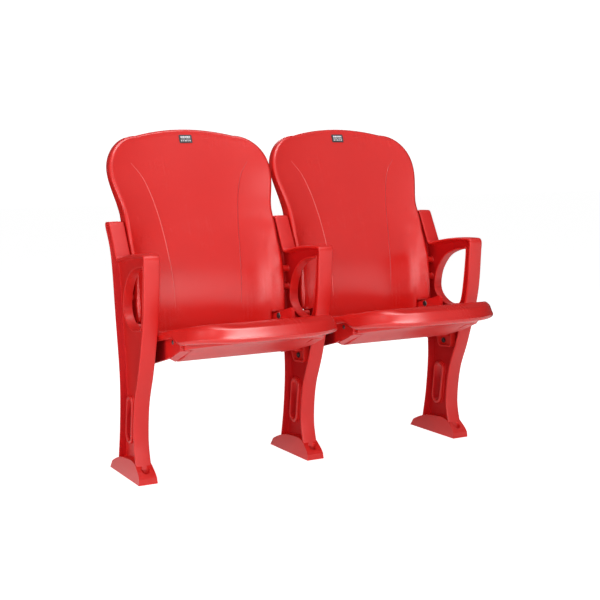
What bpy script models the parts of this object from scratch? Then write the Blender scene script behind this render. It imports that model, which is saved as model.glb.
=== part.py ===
"""Two-place row of tip-up auditorium chairs: three moulded standards, two backrests, two hinged seats.

Metres, +Z up. X runs along the row, the sitters face -Y, and the floor is z = 0.
The origin lies on the floor at the middle of the middle standard's foot.
"""
from math import atan2, cos, pi, radians, sin, sqrt

import bmesh
import bpy
from mathutils import Vector

# Row
PITCH = 0.520               # centre to centre of the standards
FIT_GAP = 0.0003            # clearance between pieces that touch
MERGE = 0.00001             # points closer than this are one
LEAST_SIDE = 0.08           # share of its length that a side moved inward keeps at a tight corner
RUN_GAP = 0.0045            # running clearance between a seat or backrest and a standard's flange

# Standard: an I-section moulding with foot, leg, arm loop and upright in one
FLANGE_WIDTH = 0.0445
FLANGE_THICK = 0.007
WEB_THICK = 0.006
POCKET_DRAFT = 0.004        # the recess walls lean out by this much
ARM_HEIGHT = 0.634          # top of the armrest
ARM_REACH = 0.209           # armrest's front edge, ahead of the foot's middle
ARM_CREST = 0.170           # highest point of the arched armrest, ahead of the foot's middle
ARM_DROP = 0.023            # how far the armrest falls from its crest to the upright
ARM_NOSE = 0.016            # radius of the armrest's front corner
PIVOT_DROP = 0.214          # hinge axis below the armrest
PIVOT_HEIGHT = ARM_HEIGHT - PIVOT_DROP
LEG_RATIO = PIVOT_HEIGHT / 0.420    # the leg's bends keep their places between floor and hinge
UPRIGHT_RISE = 0.079        # upright's top above the armrest
UPRIGHT_TOP = ARM_HEIGHT + UPRIGHT_RISE
UPRIGHT_SETBACK = 0.069     # upright's front face at its top, behind the foot's middle
UPRIGHT_ROOT = 0.015        # upright's front face where it meets the armrest
UPRIGHT_DEPTH = 0.039       # front to back at the top
UPRIGHT_ROUND = 0.007
KNEE_FRONT = 0.190          # front edge under the armrest, ahead of the foot's middle
KNEE_DROP = 0.169           # and below the armrest
KNEE_HEIGHT = ARM_HEIGHT - KNEE_DROP
SHIN_FRONT = 0.139
SHIN_HEIGHT = 0.314 * LEG_RATIO
CALF_FRONT = 0.096
CALF_HEIGHT = 0.215 * LEG_RATIO
ANKLE_FRONT = 0.080
ANKLE_HEIGHT = 0.112 * LEG_RATIO
TOE_FRONT = 0.094
HIP_REAR = 0.063            # rear edge level with the armrest, behind the foot's middle
WAIST_REAR = 0.043
WAIST_DROP = 0.194          # below the armrest
WAIST_HEIGHT = ARM_HEIGHT - WAIST_DROP
THIGH_REAR = 0.026
THIGH_HEIGHT = 0.275 * LEG_RATIO
SHANK_REAR = 0.039
SHANK_HEIGHT = 0.140 * LEG_RATIO
HEEL_REAR = 0.062
LEG_BASE = 0.036            # the leg's section runs this low inside the foot

# Foot
FOOT_LENGTH = 0.246
FOOT_WIDTH = 0.0548
FOOT_TOP_WIDTH = 0.0456     # its sides lean in to this width at the top
FOOT_HEIGHT = 0.056
FOOT_WALL = 0.0055          # side plates that stand up beside the toe and the heel
FOOT_EDGE = 0.011           # height of the foot's ends
FOOT_CROWN = 0.042          # highest point of the arch, ahead of the foot's middle
ANCHOR_HOLE = 0.012
ANCHOR_INSET = 0.021        # anchor hole's centre from the foot's end
ANCHOR_SEAT = 0.0055        # radius added round the hole for the washer's flat seat

# Armrest loop and leg slot
LOOP_WALL = 0.004
RIM_WIDTH = 0.027           # the rims of loop and slot stand proud of the web to this width
SLOT_WIDTH = 0.044
SLOT_LENGTH = 0.131
SLOT_HEIGHT = 0.1625 * LEG_RATIO    # slot's middle above the floor
SLOT_SET = 0.014            # slot's middle, ahead of the foot's middle
SLOT_TILT = 0.165           # lean of the slot, forward for each metre of height

# Backrest
BACK_WALL = 0.0045
BACK_TOP = 0.975
SHOULDER_DROP = 0.114       # widest point below the top
NECK_DROP = 0.240           # where the sides reach their lower, parallel width
BACK_SHOULDER = BACK_TOP - SHOULDER_DROP
BACK_NECK = BACK_TOP - NECK_DROP
BACK_SPREAD = 0.256         # half of the widest width
BACK_CORNER = 0.095         # radius of the upper corners
HEM_RISE = 0.0130           # lower edge of the side wings at their rims, above the hinge axis
BACK_HEM = PIVOT_HEIGHT + HEM_RISE
BACK_HEM_FALL = 0.0055      # fall of that edge towards the middle
TAIL_DROP = 0.022           # lower edge of the middle, behind the seat, below the hinge axis
BACK_TAIL = PIVOT_HEIGHT - TAIL_DROP
BACK_FLAT = 0.202           # height of the bolted, nearly upright lower part
NOTCH_ROUND = 0.0025        # inner round of the notch beside it
NOTCH_SHARES = (1.25, 0.95, 0.6, 0.0)   # columns round the notch, in rim radii inside its corner
BACK_ROUND = 0.010          # radius of the front rim
LINE_LOW = 0.103            # the styling lines from the middle, at their lower ends
LINE_HIGH = 0.185           # and at their upper ends
RIB_HEIGHT = 0.009          # stiffening ribs behind the two styling lines
RIB_THICK = 0.0035
BACK_BOLT_REAR = 0.027      # bolt line behind the foot's middle
BACK_BOLT_DROP = 0.078      # upper bolt below the armrest
BACK_BOLT_PITCH = 0.054     # from the upper bolt to the lower one
BACK_BOLT_HIGH = ARM_HEIGHT - BACK_BOLT_DROP
BACK_BOLT_LOW = BACK_BOLT_HIGH - BACK_BOLT_PITCH
BACK_BOSS = 0.0095          # radius of the spacer posts on the web
BACK_SCREW = 0.004          # bolt's shank radius

# Seat, about its hinge axis
PIVOT_AHEAD = 0.011         # hinge axis ahead of the foot's middle
SEAT_REACH = 0.433          # front of the seat ahead of the axis
SEAT_SHOULDER = 0.251       # where the front corners begin, ahead of the axis
SEAT_BOW = 2.8              # fullness of the front corners
SEAT_STEP = 0.103           # behind this the seat is narrow and lies between the hinge ears
SEAT_TAIL = 0.012           # rear edge ahead of the axis
SEAT_CREST = 0.365          # crest of the front edge ahead of the axis
SEAT_RISE = 0.045           # crest above the axis
SEAT_EASE = 0.030           # length over which the crest eases into the slope
SEAT_RAKE = 0.190           # fall of the seat towards the rear, for each metre
SEAT_DISH = 0.010           # hollow in the middle
SEAT_ROLL = 0.058           # length of the rolled front edge in its middle
SEAT_CORNER_ROLL = 0.022    # and round the front corners
SEAT_ROLL_DROP = 0.024      # fall of the rolled front edge
SEAT_ROUND = 0.010          # radius of the side rims
SEAT_SKIRT = 0.012          # straight part of the front rim below the roll
SEAT_SIDE_SKIRT = 0.003
SEAT_CURL = 0.007           # the rim's lower edge turns in by this much
SEAT_CURL_DROP = 0.009
SEAT_CORNER_CURL = 0.018    # fall of that lower edge round the front corners
SEAT_WALL = 0.005
SEAT_WAIST = 0.1965         # half width between the hinge ears

# Cheeks: the side plates that carry the seat on its hinge
CHEEK_INNER = 0.205         # from the seat's middle plane
TAIL_GAP = 0.0015           # between a cheek and the backrest's middle that runs down behind the seat
TAIL_HALF = CHEEK_INNER - TAIL_GAP
CHEEK_THICK = 0.010
CHEEK_TOE = 0.262           # front end ahead of the axis
CHEEK_SLOPE = 0.250         # rise of the lower edge towards the front, for each metre
CHEEK_BEND = 0.160          # where the lower edge turns up to the toe
CHEEK_HEEL = 0.010
CHEEK_HEEL_DROP = 0.108
CHEEK_BACK = 0.058          # rear edge behind the axis
CHEEK_UNDER = 0.012         # upper edge below the seat's upper face
SOLE_WIDTH = 0.033          # flange that turns in under the pan's edge
SOLE_THICK = 0.006
SOLE_REAR = 0.184           # flange's rear end at the cheek, ahead of the axis
SOLE_SKEW = 0.043           # how much further back the flange's inner corner lies
EAR_FRONT = 0.084           # front edge of the upstanding ear
EAR_TOP = 0.032             # highest point of the ear above the axis
EAR_ROUND = 0.012
EAR_REAR_TOP = -0.002       # ear's top edge above the axis at the rear
CHEEK_SCREW = 0.003         # shank radius
CHEEK_HEAD = 0.006
CHEEK_RECESS = 0.004
CHEEK_SCREW_AHEAD = 0.211
CHEEK_SCREW_DROP = 0.0185

# Pan: the lower cover between the cheeks
PAN_WALL = 0.004
PAN_GAP = 0.0008            # between pan and cheek
PAN_INSET = 0.060           # border of its floor behind the seat's front edge
PAN_TAPER = 1.08            # its front corners are this much rounder than the seat's
PAN_FRONT_HALF = 0.206      # half width ahead of the cheeks
PAN_LIP = 0.004             # straight part of its front rim
PAN_LOW = 0.141             # lowest line ahead of the axis
PAN_DEPTH = 0.083           # lowest line below the axis
PAN_SLOPE = 0.390           # rise from the lowest line to the cheeks' toes, for each metre
PAN_NOSE_DROP = 0.012       # front of the floor below the axis
PAN_REAR = 0.030
PAN_REAR_DROP = 0.056
PAN_CHAMFER = 0.006
PAN_BOSS = 0.007            # radius of the bosses that take the cheeks' screws

# Hinge
BEARING_GAP = 0.0001        # running clearance of the bolt in its bush
BUSH_WALL = 0.003
PIVOT_RADIUS = 0.006
PIVOT_HEAD = 0.009
PIVOT_HEAD_THICK = 0.003
PIVOT_THREAD = 0.005
PIVOT_THREAD_LENGTH = 0.026
BLOCK_BASE = 0.0055         # base of the hinge block against the web
BLOCK_WALL = 0.005
BLOCK_PROUD = 0.0035        # the block's walls stand proud of the flange's edge
BLOCK_BOSS = 0.0105
BLOCK_DROP = 0.116          # lower bolt below the axis
BLOCK_BOLT_AHEAD = 0.043
BLOCK_BOLT = 0.004
BLOCK_TOE = 0.086           # middle of the block's front corners, ahead of the axis
BLOCK_TOE_LOW = 0.120
BLOCK_TOE_HIGH = 0.050
WEB_PAD = 0.004             # height of the pad that takes the block's bolt
STOP_AHEAD = 0.062          # stop post on the cheek, ahead of the axis
STOP_DROP = 0.058           # and below it
STOP_RADIUS = 0.008
STOP_REACH = 0.016          # length of the post out of the cheek
BUFFER_LENGTH = 0.020
BUFFER_HEIGHT = 0.022
BUFFER_WIDTH = 0.015
LEDGE_HEIGHT = 0.010        # ledge under the buffer

# Number plate
PLATE_WIDTH = 0.041
PLATE_HEIGHT = 0.026
PLATE_THICK = 0.0012
PLATE_DROP = 0.029          # its middle below the backrest's top

# Fastener heads
HEX_HEAD = 0.0065           # across flats, half
HEX_THICK = 0.0053

SEAT_CENTRES = {"left": -PITCH / 2, "right": PITCH / 2}
STANDARDS = {"left": -PITCH, "middle": 0.0, "right": PITCH}
HALF_BAY = PITCH / 2
BAY_HALF = HALF_BAY - FLANGE_WIDTH / 2 - RUN_GAP      # half of what fits between two standards
WEB_FACE = HALF_BAY - WEB_THICK / 2                   # web's face from the seat's middle plane
CHEEK_OUTER = CHEEK_INNER + CHEEK_THICK

RED = (0.62, 0.026, 0.022, 1.0)
DARK_STEEL = (0.055, 0.062, 0.062, 1.0)
BLACK = (0.012, 0.012, 0.013, 1.0)
NYLON = (0.72, 0.70, 0.64, 1.0)


# Scene and mesh helpers

def clear_scene():
    for obj in list(bpy.data.objects):
        bpy.data.objects.remove(obj, do_unlink=True)


def material(name, colour, roughness, metallic=0.0):
    mat = bpy.data.materials.new(name)
    mat.use_nodes = True
    shader = mat.node_tree.nodes["Principled BSDF"]
    shader.inputs["Base Color"].default_value = colour
    shader.inputs["Roughness"].default_value = roughness
    shader.inputs["Metallic"].default_value = metallic
    return mat


def to_object(name, bm):
    bmesh.ops.recalc_face_normals(bm, faces=bm.faces)
    mesh = bpy.data.meshes.new(name)
    bm.to_mesh(mesh)
    bm.free()
    obj = bpy.data.objects.new(name, mesh)
    bpy.context.scene.collection.objects.link(obj)
    return obj


def evaluated(obj):
    graph = bpy.context.evaluated_depsgraph_get()
    mesh = bpy.data.meshes.new_from_object(obj.evaluated_get(graph))
    obj.modifiers.clear()
    obj.data = mesh
    return obj


def combine(target, tool, operation):
    step = target.modifiers.new(operation.lower(), "BOOLEAN")
    step.operation = operation
    step.solver = "EXACT"
    step.object = tool
    bpy.context.view_layer.update()
    evaluated(target)
    bpy.data.objects.remove(tool, do_unlink=True)
    return target


def cut(target, tool):
    return combine(target, tool, "DIFFERENCE")


def join(target, tool):
    return combine(target, tool, "UNION")


def clean(obj):
    """Merges the near-coincident points that cuts leave and splits every face into sound triangles."""
    bm = bmesh.new()
    bm.from_mesh(obj.data)
    bmesh.ops.remove_doubles(bm, verts=bm.verts, dist=MERGE)
    bmesh.ops.dissolve_degenerate(bm, edges=bm.edges, dist=MERGE)
    bmesh.ops.triangulate(bm, faces=bm.faces, quad_method="BEAUTY", ngon_method="BEAUTY")
    bm.to_mesh(obj.data)
    bm.free()


def finish(obj, mat, parent=None, location=(0.0, 0.0, 0.0), smooth=32.0):
    clean(obj)
    obj.data.materials.clear()
    obj.data.materials.append(mat)
    obj.data.shade_smooth()
    obj.data.set_sharp_from_angle(angle=radians(smooth))
    obj.location = location
    obj.parent = parent
    return obj


def loft(rings):
    bm = bmesh.new()
    rows = [[bm.verts.new(point) for point in ring] for ring in rings]
    count = len(rows[0])
    for near, far in zip(rows, rows[1:]):
        for i in range(count):
            j = (i + 1) % count
            bm.faces.new((near[i], near[j], far[j], far[i]))
    bm.faces.new(rows[0])
    bm.faces.new(rows[-1])
    return bm


def prism(name, outline, lower, upper):
    return to_object(name, loft([[(x, y, z) for y, z in outline] for x in (lower, upper)]))


def turned(name, profile, centre, sides=20, axis="X"):
    """Lofts circles along an axis; the profile lists (position, radius)."""
    rings = []
    for position, radius in profile:
        ring = []
        for i in range(sides):
            a = 2 * pi * i / sides
            p, q = radius * cos(a), radius * sin(a)
            ring.append((position, centre[0] + p, centre[1] + q) if axis == "X"
                        else (centre[0] + p, centre[1] + q, position))
        rings.append(ring)
    return to_object(name, loft(rings))


def spline(points, steps, closed=False):
    """Catmull-Rom curve through the points, with a number of steps for each span."""
    count = len(points)
    spans = count if closed else count - 1
    curve = []
    for k in range(spans):
        if closed:
            p0, p1, p2, p3 = (Vector(points[(k + d) % count]) for d in (-1, 0, 1, 2))
        else:
            p1, p2 = Vector(points[k]), Vector(points[k + 1])
            p0 = Vector(points[k - 1]) if k else 2 * p1 - p2
            p3 = Vector(points[k + 2]) if k + 2 < count else 2 * p2 - p1
        for i in range(steps):
            t = i / steps
            curve.append(0.5 * (2 * p1 + (p2 - p0) * t + (2 * p0 - 5 * p1 + 4 * p2 - p3) * t * t
                                + (3 * p1 - p0 - 3 * p2 + p3) * t ** 3))
    if not closed:
        curve.append(Vector(points[-1]))
    return [tuple(p) for p in curve]


def profile_value(points, position):
    """Value at a position of the smooth curve through (position, value) points."""
    last = len(points) - 1
    k = 0
    while k < last - 1 and position > points[k + 1][0]:
        k += 1
    (p1, v1), (p2, v2) = points[k], points[k + 1]
    p0, v0 = points[k - 1] if k else (2 * p1 - p2, 2 * v1 - v2)
    p3, v3 = points[k + 2] if k + 2 <= last else (2 * p2 - p1, 2 * v2 - v1)
    span = p2 - p1
    slope1 = (v2 - v0) / (p2 - p0) * span
    slope2 = (v3 - v1) / (p3 - p1) * span
    t = (position - p1) / span
    return ((2 * t ** 3 - 3 * t * t + 1) * v1 + (t ** 3 - 2 * t * t + t) * slope1
            + (3 * t * t - 2 * t ** 3) * v2 + (t ** 3 - t * t) * slope2)


def curve_value(stations, position):
    """Value of a curve that eases from one (position, value) station to the next and is level at each."""
    if position <= stations[0][0]:
        return stations[0][1]
    for (a, u), (b, v) in zip(stations, stations[1:]):
        if position <= b:
            t = (position - a) / (b - a)
            return u + (v - u) * t * t * (3 - 2 * t)
    return stations[-1][1]


def arc(centre, radius, start, end, steps):
    return [(centre[0] + radius * cos(radians(start + (end - start) * i / steps)),
             centre[1] + radius * sin(radians(start + (end - start) * i / steps)))
            for i in range(steps + 1)]


def signed_area(outline):
    return sum(a[0] * b[1] - b[0] * a[1] for a, b in zip(outline, outline[1:] + outline[:1])) / 2


def inset(outline, distance):
    """Moves every side of an outline inward by a distance; a negative one moves it outward."""
    turn = 1 if signed_area(outline) > 0 else -1
    count = len(outline)
    moved = []
    for i, here in enumerate(outline):
        before, after = Vector(outline[i - 1]), Vector(outline[(i + 1) % count])
        point = Vector(here)
        one = (point - before).normalized()
        two = (after - point).normalized()
        normal_one = Vector((-one.y, one.x)) * turn
        normal_two = Vector((-two.y, two.x)) * turn
        bisector = (normal_one + normal_two).normalized()
        reach = distance / max(bisector.dot(normal_one), 0.6)
        moved.append(point + bisector * reach)
    for i in range(count):
        side = Vector(outline[i]) - Vector(outline[i - 1])
        if (moved[i] - moved[i - 1]).dot(side) < LEAST_SIDE * side.length_squared:
            middle = (moved[i] + moved[i - 1]) / 2
            moved[i - 1], moved[i] = middle - side * LEAST_SIDE / 2, middle + side * LEAST_SIDE / 2
    return [tuple(point) for point in moved]


def hull(points):
    """Convex outline round a set of points."""
    points = sorted(set(points))

    def half(sequence):
        chain = []
        for p in sequence:
            while len(chain) > 1 and ((chain[-1][0] - chain[-2][0]) * (p[1] - chain[-2][1])
                                      - (chain[-1][1] - chain[-2][1]) * (p[0] - chain[-2][0])) <= 0:
                chain.pop()
            chain.append(p)
        return chain[:-1]

    return half(points) + half(points[::-1])


def rimmed_shell(columns, rows, surface, rim, wall, place, edge=None):
    """A moulded sheet with a rounded rim that turns back all round.

    surface(column, row) gives (a, b, c), with c the height of the sheet's outer face. rim(a, b) gives the
    rim's run outward, the fall over that run, the straight skirt, and how far the lower edge curls in and
    down. edge(column, row), where it gives a point, is the rim's outermost and sets the run instead.
    place() turns (a, b, c) into a point in space.
    """
    grid = [[surface(column, row) for column in columns] for row in rows]
    last_row, last_column = len(rows) - 1, len(columns) - 1
    border = ([(0, j) for j in range(last_column)] + [(i, last_column) for i in range(last_row)]
              + [(last_row, j) for j in range(last_column, 0, -1)]
              + [(i, 0) for i in range(last_row, 0, -1)])
    ring = [grid[i][j] for i, j in border]
    directions = ring_normals([(a, b) for a, b, c in ring])
    rims = [rim(a, b) for a, b, c in ring]
    for k, (i, j) in enumerate(border):
        end = edge(columns[j], rows[i]) if edge else None
        if end:
            out = Vector((end[0] - ring[k][0], end[1] - ring[k][1]))
            directions[k] = tuple(out.normalized())
            rims[k] = (out.length,) + rim(*end)[1:]
    stages = [[(run * sin(pi / 2 * share), fall * (1 - cos(pi / 2 * share)))
               for run, fall, skirt, curl, drop in rims] for share in (0.5, 1.0)]
    stages.append([(run, fall + skirt) for run, fall, skirt, curl, drop in rims])
    if any(curl for run, fall, skirt, curl, drop in rims):
        stages.append([(run - curl, fall + skirt + drop) for run, fall, skirt, curl, drop in rims])
    bm = bmesh.new()
    verts = [[bm.verts.new(place(*point)) for point in line] for line in grid]
    for i in range(last_row):
        for j in range(last_column):
            bm.faces.new((verts[i][j], verts[i][j + 1], verts[i + 1][j + 1], verts[i + 1][j]))
    previous = [verts[i][j] for i, j in border]
    for stage in stages:
        current = [bm.verts.new(place(a + da * out, b + db * out, c - down))
                   for (a, b, c), (da, db), (out, down) in zip(ring, directions, stage)]
        for k in range(len(border)):
            n = (k + 1) % len(border)
            bm.faces.new((previous[k], previous[n], current[n], current[k]))
        previous = current
    bmesh.ops.recalc_face_normals(bm, faces=bm.faces)
    bm.faces.ensure_lookup_table()
    bm.normal_update()
    middle = bm.faces[(last_row // 2) * last_column + last_column // 2]
    up = Vector(place(0.0, 0.0, 1.0)) - Vector(place(0.0, 0.0, 0.0))
    if middle.normal.dot(up) < 0:
        bmesh.ops.reverse_faces(bm, faces=bm.faces)
    mesh = bpy.data.meshes.new("shell")
    bm.to_mesh(mesh)
    bm.free()
    obj = bpy.data.objects.new("shell", mesh)
    bpy.context.scene.collection.objects.link(obj)
    thick = obj.modifiers.new("wall", "SOLIDIFY")
    thick.thickness = wall
    thick.offset = -1.0
    thick.use_even_offset = False
    bpy.context.view_layer.update()
    return evaluated(obj)


def ring_normals(points):
    """Outward directions of a closed border in its plane, lengthened at corners to keep the sides true."""
    turn = 1 if signed_area(points) > 0 else -1
    count = len(points)
    found = []
    for i in range(count):
        before, here, after = (Vector(points[(i + d) % count]) for d in (-1, 0, 1))
        one, two = (here - before).normalized(), (after - here).normalized()
        side = Vector((one.y, -one.x)) * turn
        bisector = (side + Vector((two.y, -two.x)) * turn).normalized()
        found.append(tuple(bisector / max(bisector.dot(side), 0.6)))
    return found


# Standards

def leg_outline():
    front = spline([(-ARM_REACH + 0.0006, ARM_HEIGHT - ARM_NOSE - 0.006), (-KNEE_FRONT, KNEE_HEIGHT),
                    (-SHIN_FRONT, SHIN_HEIGHT), (-CALF_FRONT, CALF_HEIGHT),
                    (-ANKLE_FRONT, ANKLE_HEIGHT), (-TOE_FRONT, LEG_BASE)], 3)
    arm_root = ARM_HEIGHT - ARM_DROP
    rear = spline([(HEEL_REAR, LEG_BASE), (SHANK_REAR, SHANK_HEIGHT), (THIGH_REAR, THIGH_HEIGHT),
                   (WAIST_REAR, WAIST_HEIGHT), (HIP_REAR, arm_root + 0.002)], 3)
    top_rear = (UPRIGHT_SETBACK + UPRIGHT_DEPTH, UPRIGHT_TOP - 0.002)
    crown = [(top_rear[0] - 0.001, top_rear[1] - UPRIGHT_ROUND),
             (top_rear[0] - UPRIGHT_ROUND, UPRIGHT_TOP), (UPRIGHT_SETBACK + UPRIGHT_ROUND, UPRIGHT_TOP),
             (UPRIGHT_SETBACK - 0.002, UPRIGHT_TOP - UPRIGHT_ROUND)]
    fall = ARM_DROP / (ARM_CREST + UPRIGHT_ROOT) ** 2
    reach = -ARM_REACH + ARM_NOSE
    arch_ys = [UPRIGHT_ROOT - 0.008 + (reach - UPRIGHT_ROOT + 0.008) * i / 6 for i in range(7)]
    arch = [(y, ARM_HEIGHT - fall * (y + ARM_CREST) ** 2) for y in arch_ys]
    root = [(UPRIGHT_ROOT + 0.005, arm_root + 0.008)]
    nose = arc((reach, arch[-1][1] - ARM_NOSE), ARM_NOSE, 112, 172, 3)
    return front + rear + crown + root + arch + nose


def loop_outline():
    """The D-shaped hand loop under the armrest, straight in front and bowed behind."""
    points = [(0.170, 0.046), (0.146, 0.187), (0.113, 0.207), (0.066, 0.210), (0.021, 0.188),
              (0.005, 0.157), (0.018, 0.108), (0.058, 0.064), (0.108, 0.043), (0.157, 0.036)]
    return spline([(-ahead, ARM_HEIGHT - drop) for ahead, drop in points], 3, closed=True)


def slot_outline():
    run = (SLOT_LENGTH - SLOT_WIDTH) / 2
    ends = []
    for sign, start in ((1, 0), (-1, 180)):
        centre = (-SLOT_SET - sign * run * SLOT_TILT, SLOT_HEIGHT + sign * run)
        ends += arc(centre, SLOT_WIDTH / 2, start, start + 180, 7)
    return ends


def foot_outline():
    half = FOOT_LENGTH / 2
    top = spline([(half - 0.008, FOOT_EDGE), (half - 0.022, FOOT_EDGE * 2.3),
                  (half * 0.33, FOOT_HEIGHT * 0.84), (-FOOT_CROWN, FOOT_HEIGHT),
                  (-half + 0.030, FOOT_HEIGHT * 0.86), (-half + 0.012, FOOT_EDGE * 2.5),
                  (-half + 0.002, FOOT_EDGE)], 3)
    return [(-half, 0.0), (half, 0.0)] + top


def lean(obj):
    """Draws the foot's sides in towards its top."""
    draft = 1 - FOOT_TOP_WIDTH / FOOT_WIDTH
    for vert in obj.data.vertices:
        vert.co.x *= 1 - draft * vert.co.z / FOOT_HEIGHT
    return obj


def make_foot():
    half, width = FOOT_LENGTH / 2, FOOT_WIDTH / 2
    foot = lean(prism("foot", foot_outline(), -width, width))
    inner = width - FOOT_WALL
    toe = [(-half - 0.010, FOOT_EDGE * 0.6), (-TOE_FRONT + 0.004, FOOT_HEIGHT * 0.68),
           (-TOE_FRONT + 0.004, FOOT_HEIGHT * 1.3), (-half - 0.010, FOOT_HEIGHT * 1.3)]
    heel = [(half + 0.010, FOOT_EDGE * 0.5), (half + 0.010, FOOT_HEIGHT * 1.3),
            (HEEL_REAR - 0.003, FOOT_HEIGHT * 1.3), (HEEL_REAR - 0.003, FOOT_HEIGHT * 0.53)]
    cut(foot, lean(prism("toe", toe, -inner, inner)))
    cut(foot, lean(prism("heel", heel, -inner, inner)))
    for sign in (-1, 1):
        hole = (0.0, sign * (half - ANCHOR_INSET))
        seat = FOOT_EDGE * 1.15
        wide = ANCHOR_HOLE / 2 + ANCHOR_SEAT
        cut(foot, turned("seat", [(seat, wide), (FOOT_HEIGHT, wide)], hole, 12, "Z"))
        cut(foot, turned("hole", [(-0.01, ANCHOR_HOLE / 2), (FOOT_HEIGHT, ANCHOR_HOLE / 2)], hole, 12, "Z"))
    return foot


def make_standard(name, x, sides, mat):
    """One standard; sides lists the faces (-1, +1) that carry a hinge block and a backrest."""
    half, web = FLANGE_WIDTH / 2, WEB_THICK / 2
    outline = leg_outline()
    body = prism(name, outline, -half, half)
    mouth, floor = inset(outline, FLANGE_THICK), inset(outline, FLANGE_THICK + POCKET_DRAFT)
    for sign in (-1, 1):
        rings = [[(sign * web, y, z) for y, z in floor], [(sign * (half + 0.001), y, z) for y, z in mouth]]
        cut(body, to_object("pocket", loft(rings)))
    rim = RIM_WIDTH / 2
    for shape in (loop_outline(), slot_outline()):
        join(body, prism("rim", inset(shape, -LOOP_WALL), -rim, rim))
        cut(body, prism("opening", shape, -half, half))
    join(body, make_foot())
    post = HALF_BAY - BAY_HALF - FIT_GAP
    block_bolt = (-PIVOT_AHEAD - BLOCK_BOLT_AHEAD, PIVOT_HEIGHT - BLOCK_DROP)
    for sign in sides:
        for height in (BACK_BOLT_LOW, BACK_BOLT_HIGH):
            centre = (BACK_BOLT_REAR, height)
            join(body, turned("post", [(0.0, BACK_BOSS), (sign * post, BACK_BOSS)], centre, 10))
            thread = BACK_SCREW + FIT_GAP
            cut(body, turned("thread", [(sign * 0.001, thread), (sign * (post + 0.01), thread)], centre, 8))
        pad, thread, top = BLOCK_BOLT * 2.2, BLOCK_BOLT + FIT_GAP, web + WEB_PAD
        join(body, turned("pad", [(0.0, pad), (sign * top, pad)], block_bolt, 10))
        cut(body, turned("thread", [(sign * 0.0008, thread), (sign * (top + 0.01), thread)], block_bolt, 8))
    return finish(body, mat, location=(x, 0.0, 0.0))


# Backrests

def back_level(share):
    """Height on the backrest: -1 its lower edge, 0 the top of the upright lower part, 1 its top."""
    low = BACK_TAIL + BACK_FLAT
    return low + share * (BACK_FLAT if share < 0 else BACK_TOP - low)


BACK_CENTRE = [(back_level(share), depth) for share, depth in (
    (-1.0495, 0.033), (-0.6436, 0.032), (-0.1980, 0.040), (0.1333, 0.064), (0.3467, 0.096), (0.6400, 0.136),
    (1.0, 0.187))]
BACK_WING = [(back_level(share), depth) for share, depth in (
    (-0.1980, 0.059), (0.1600, 0.034), (0.4267, 0.027), (0.6933, 0.022), (1.0, 0.030))]
BACK_SKIRT = [(back_level(share), depth) for share, depth in (
    (0.0, 0.052), (0.3733, 0.034), (0.6933, 0.020), (1.0, 0.012))]


def back_profile(z):
    """How far the middle of the backrest lies behind the foot's middle, at a height."""
    return profile_value(BACK_CENTRE, z)


def back_half_width(z):
    """Half width of the backrest below its shoulders."""
    return curve_value([(BACK_NECK, BAY_HALF), (BACK_SHOULDER, BACK_SPREAD)], z)


def back_wing(z):
    """How far the side edges stand ahead of the middle."""
    return curve_value(BACK_WING, z)


def back_face(x, z):
    """Depth of the backrest's front face behind the foot's middle."""
    reach = min(abs(x) / back_half_width(min(z, BACK_SHOULDER)), 1.0)
    power = curve_value([(back_level(-0.1980), 8.0), (back_level(0.3200), 2.6)], z)
    return back_profile(z) - back_wing(z) * reach ** power


def back_crown(x):
    """Height of the backrest's upper edge."""
    x = abs(x)
    knee = BACK_SPREAD - BACK_CORNER
    drop = BACK_TOP - BACK_SHOULDER - BACK_CORNER
    if x <= knee:
        return BACK_TOP - drop * (x / knee) ** 2
    return BACK_SHOULDER + sqrt(max(BACK_CORNER ** 2 - (x - knee) ** 2, 0.0))


def back_columns():
    knee = BACK_SPREAD - BACK_CORNER
    middle = [knee * (i / 3) for i in range(4)]
    corner = [knee + BACK_CORNER * sin(radians(90 * i / 5)) for i in range(1, 6)]
    notch = [(TAIL_HALF - BACK_ROUND * k) / (BAY_HALF - BACK_ROUND) for k in NOTCH_SHARES]
    right = [x / BACK_SPREAD for x in middle + corner]
    right = [t for t in right if not notch[0] - 0.02 < t < notch[-1] + 0.015]
    right += notch
    right.sort()
    return [-t for t in right[:0:-1]] + right


def back_hem(across):
    """Height of the wings' lower edge, which falls towards the middle."""
    return BACK_HEM - BACK_HEM_FALL * (BAY_HALF - abs(across)) / (BAY_HALF - TAIL_HALF)


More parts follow.
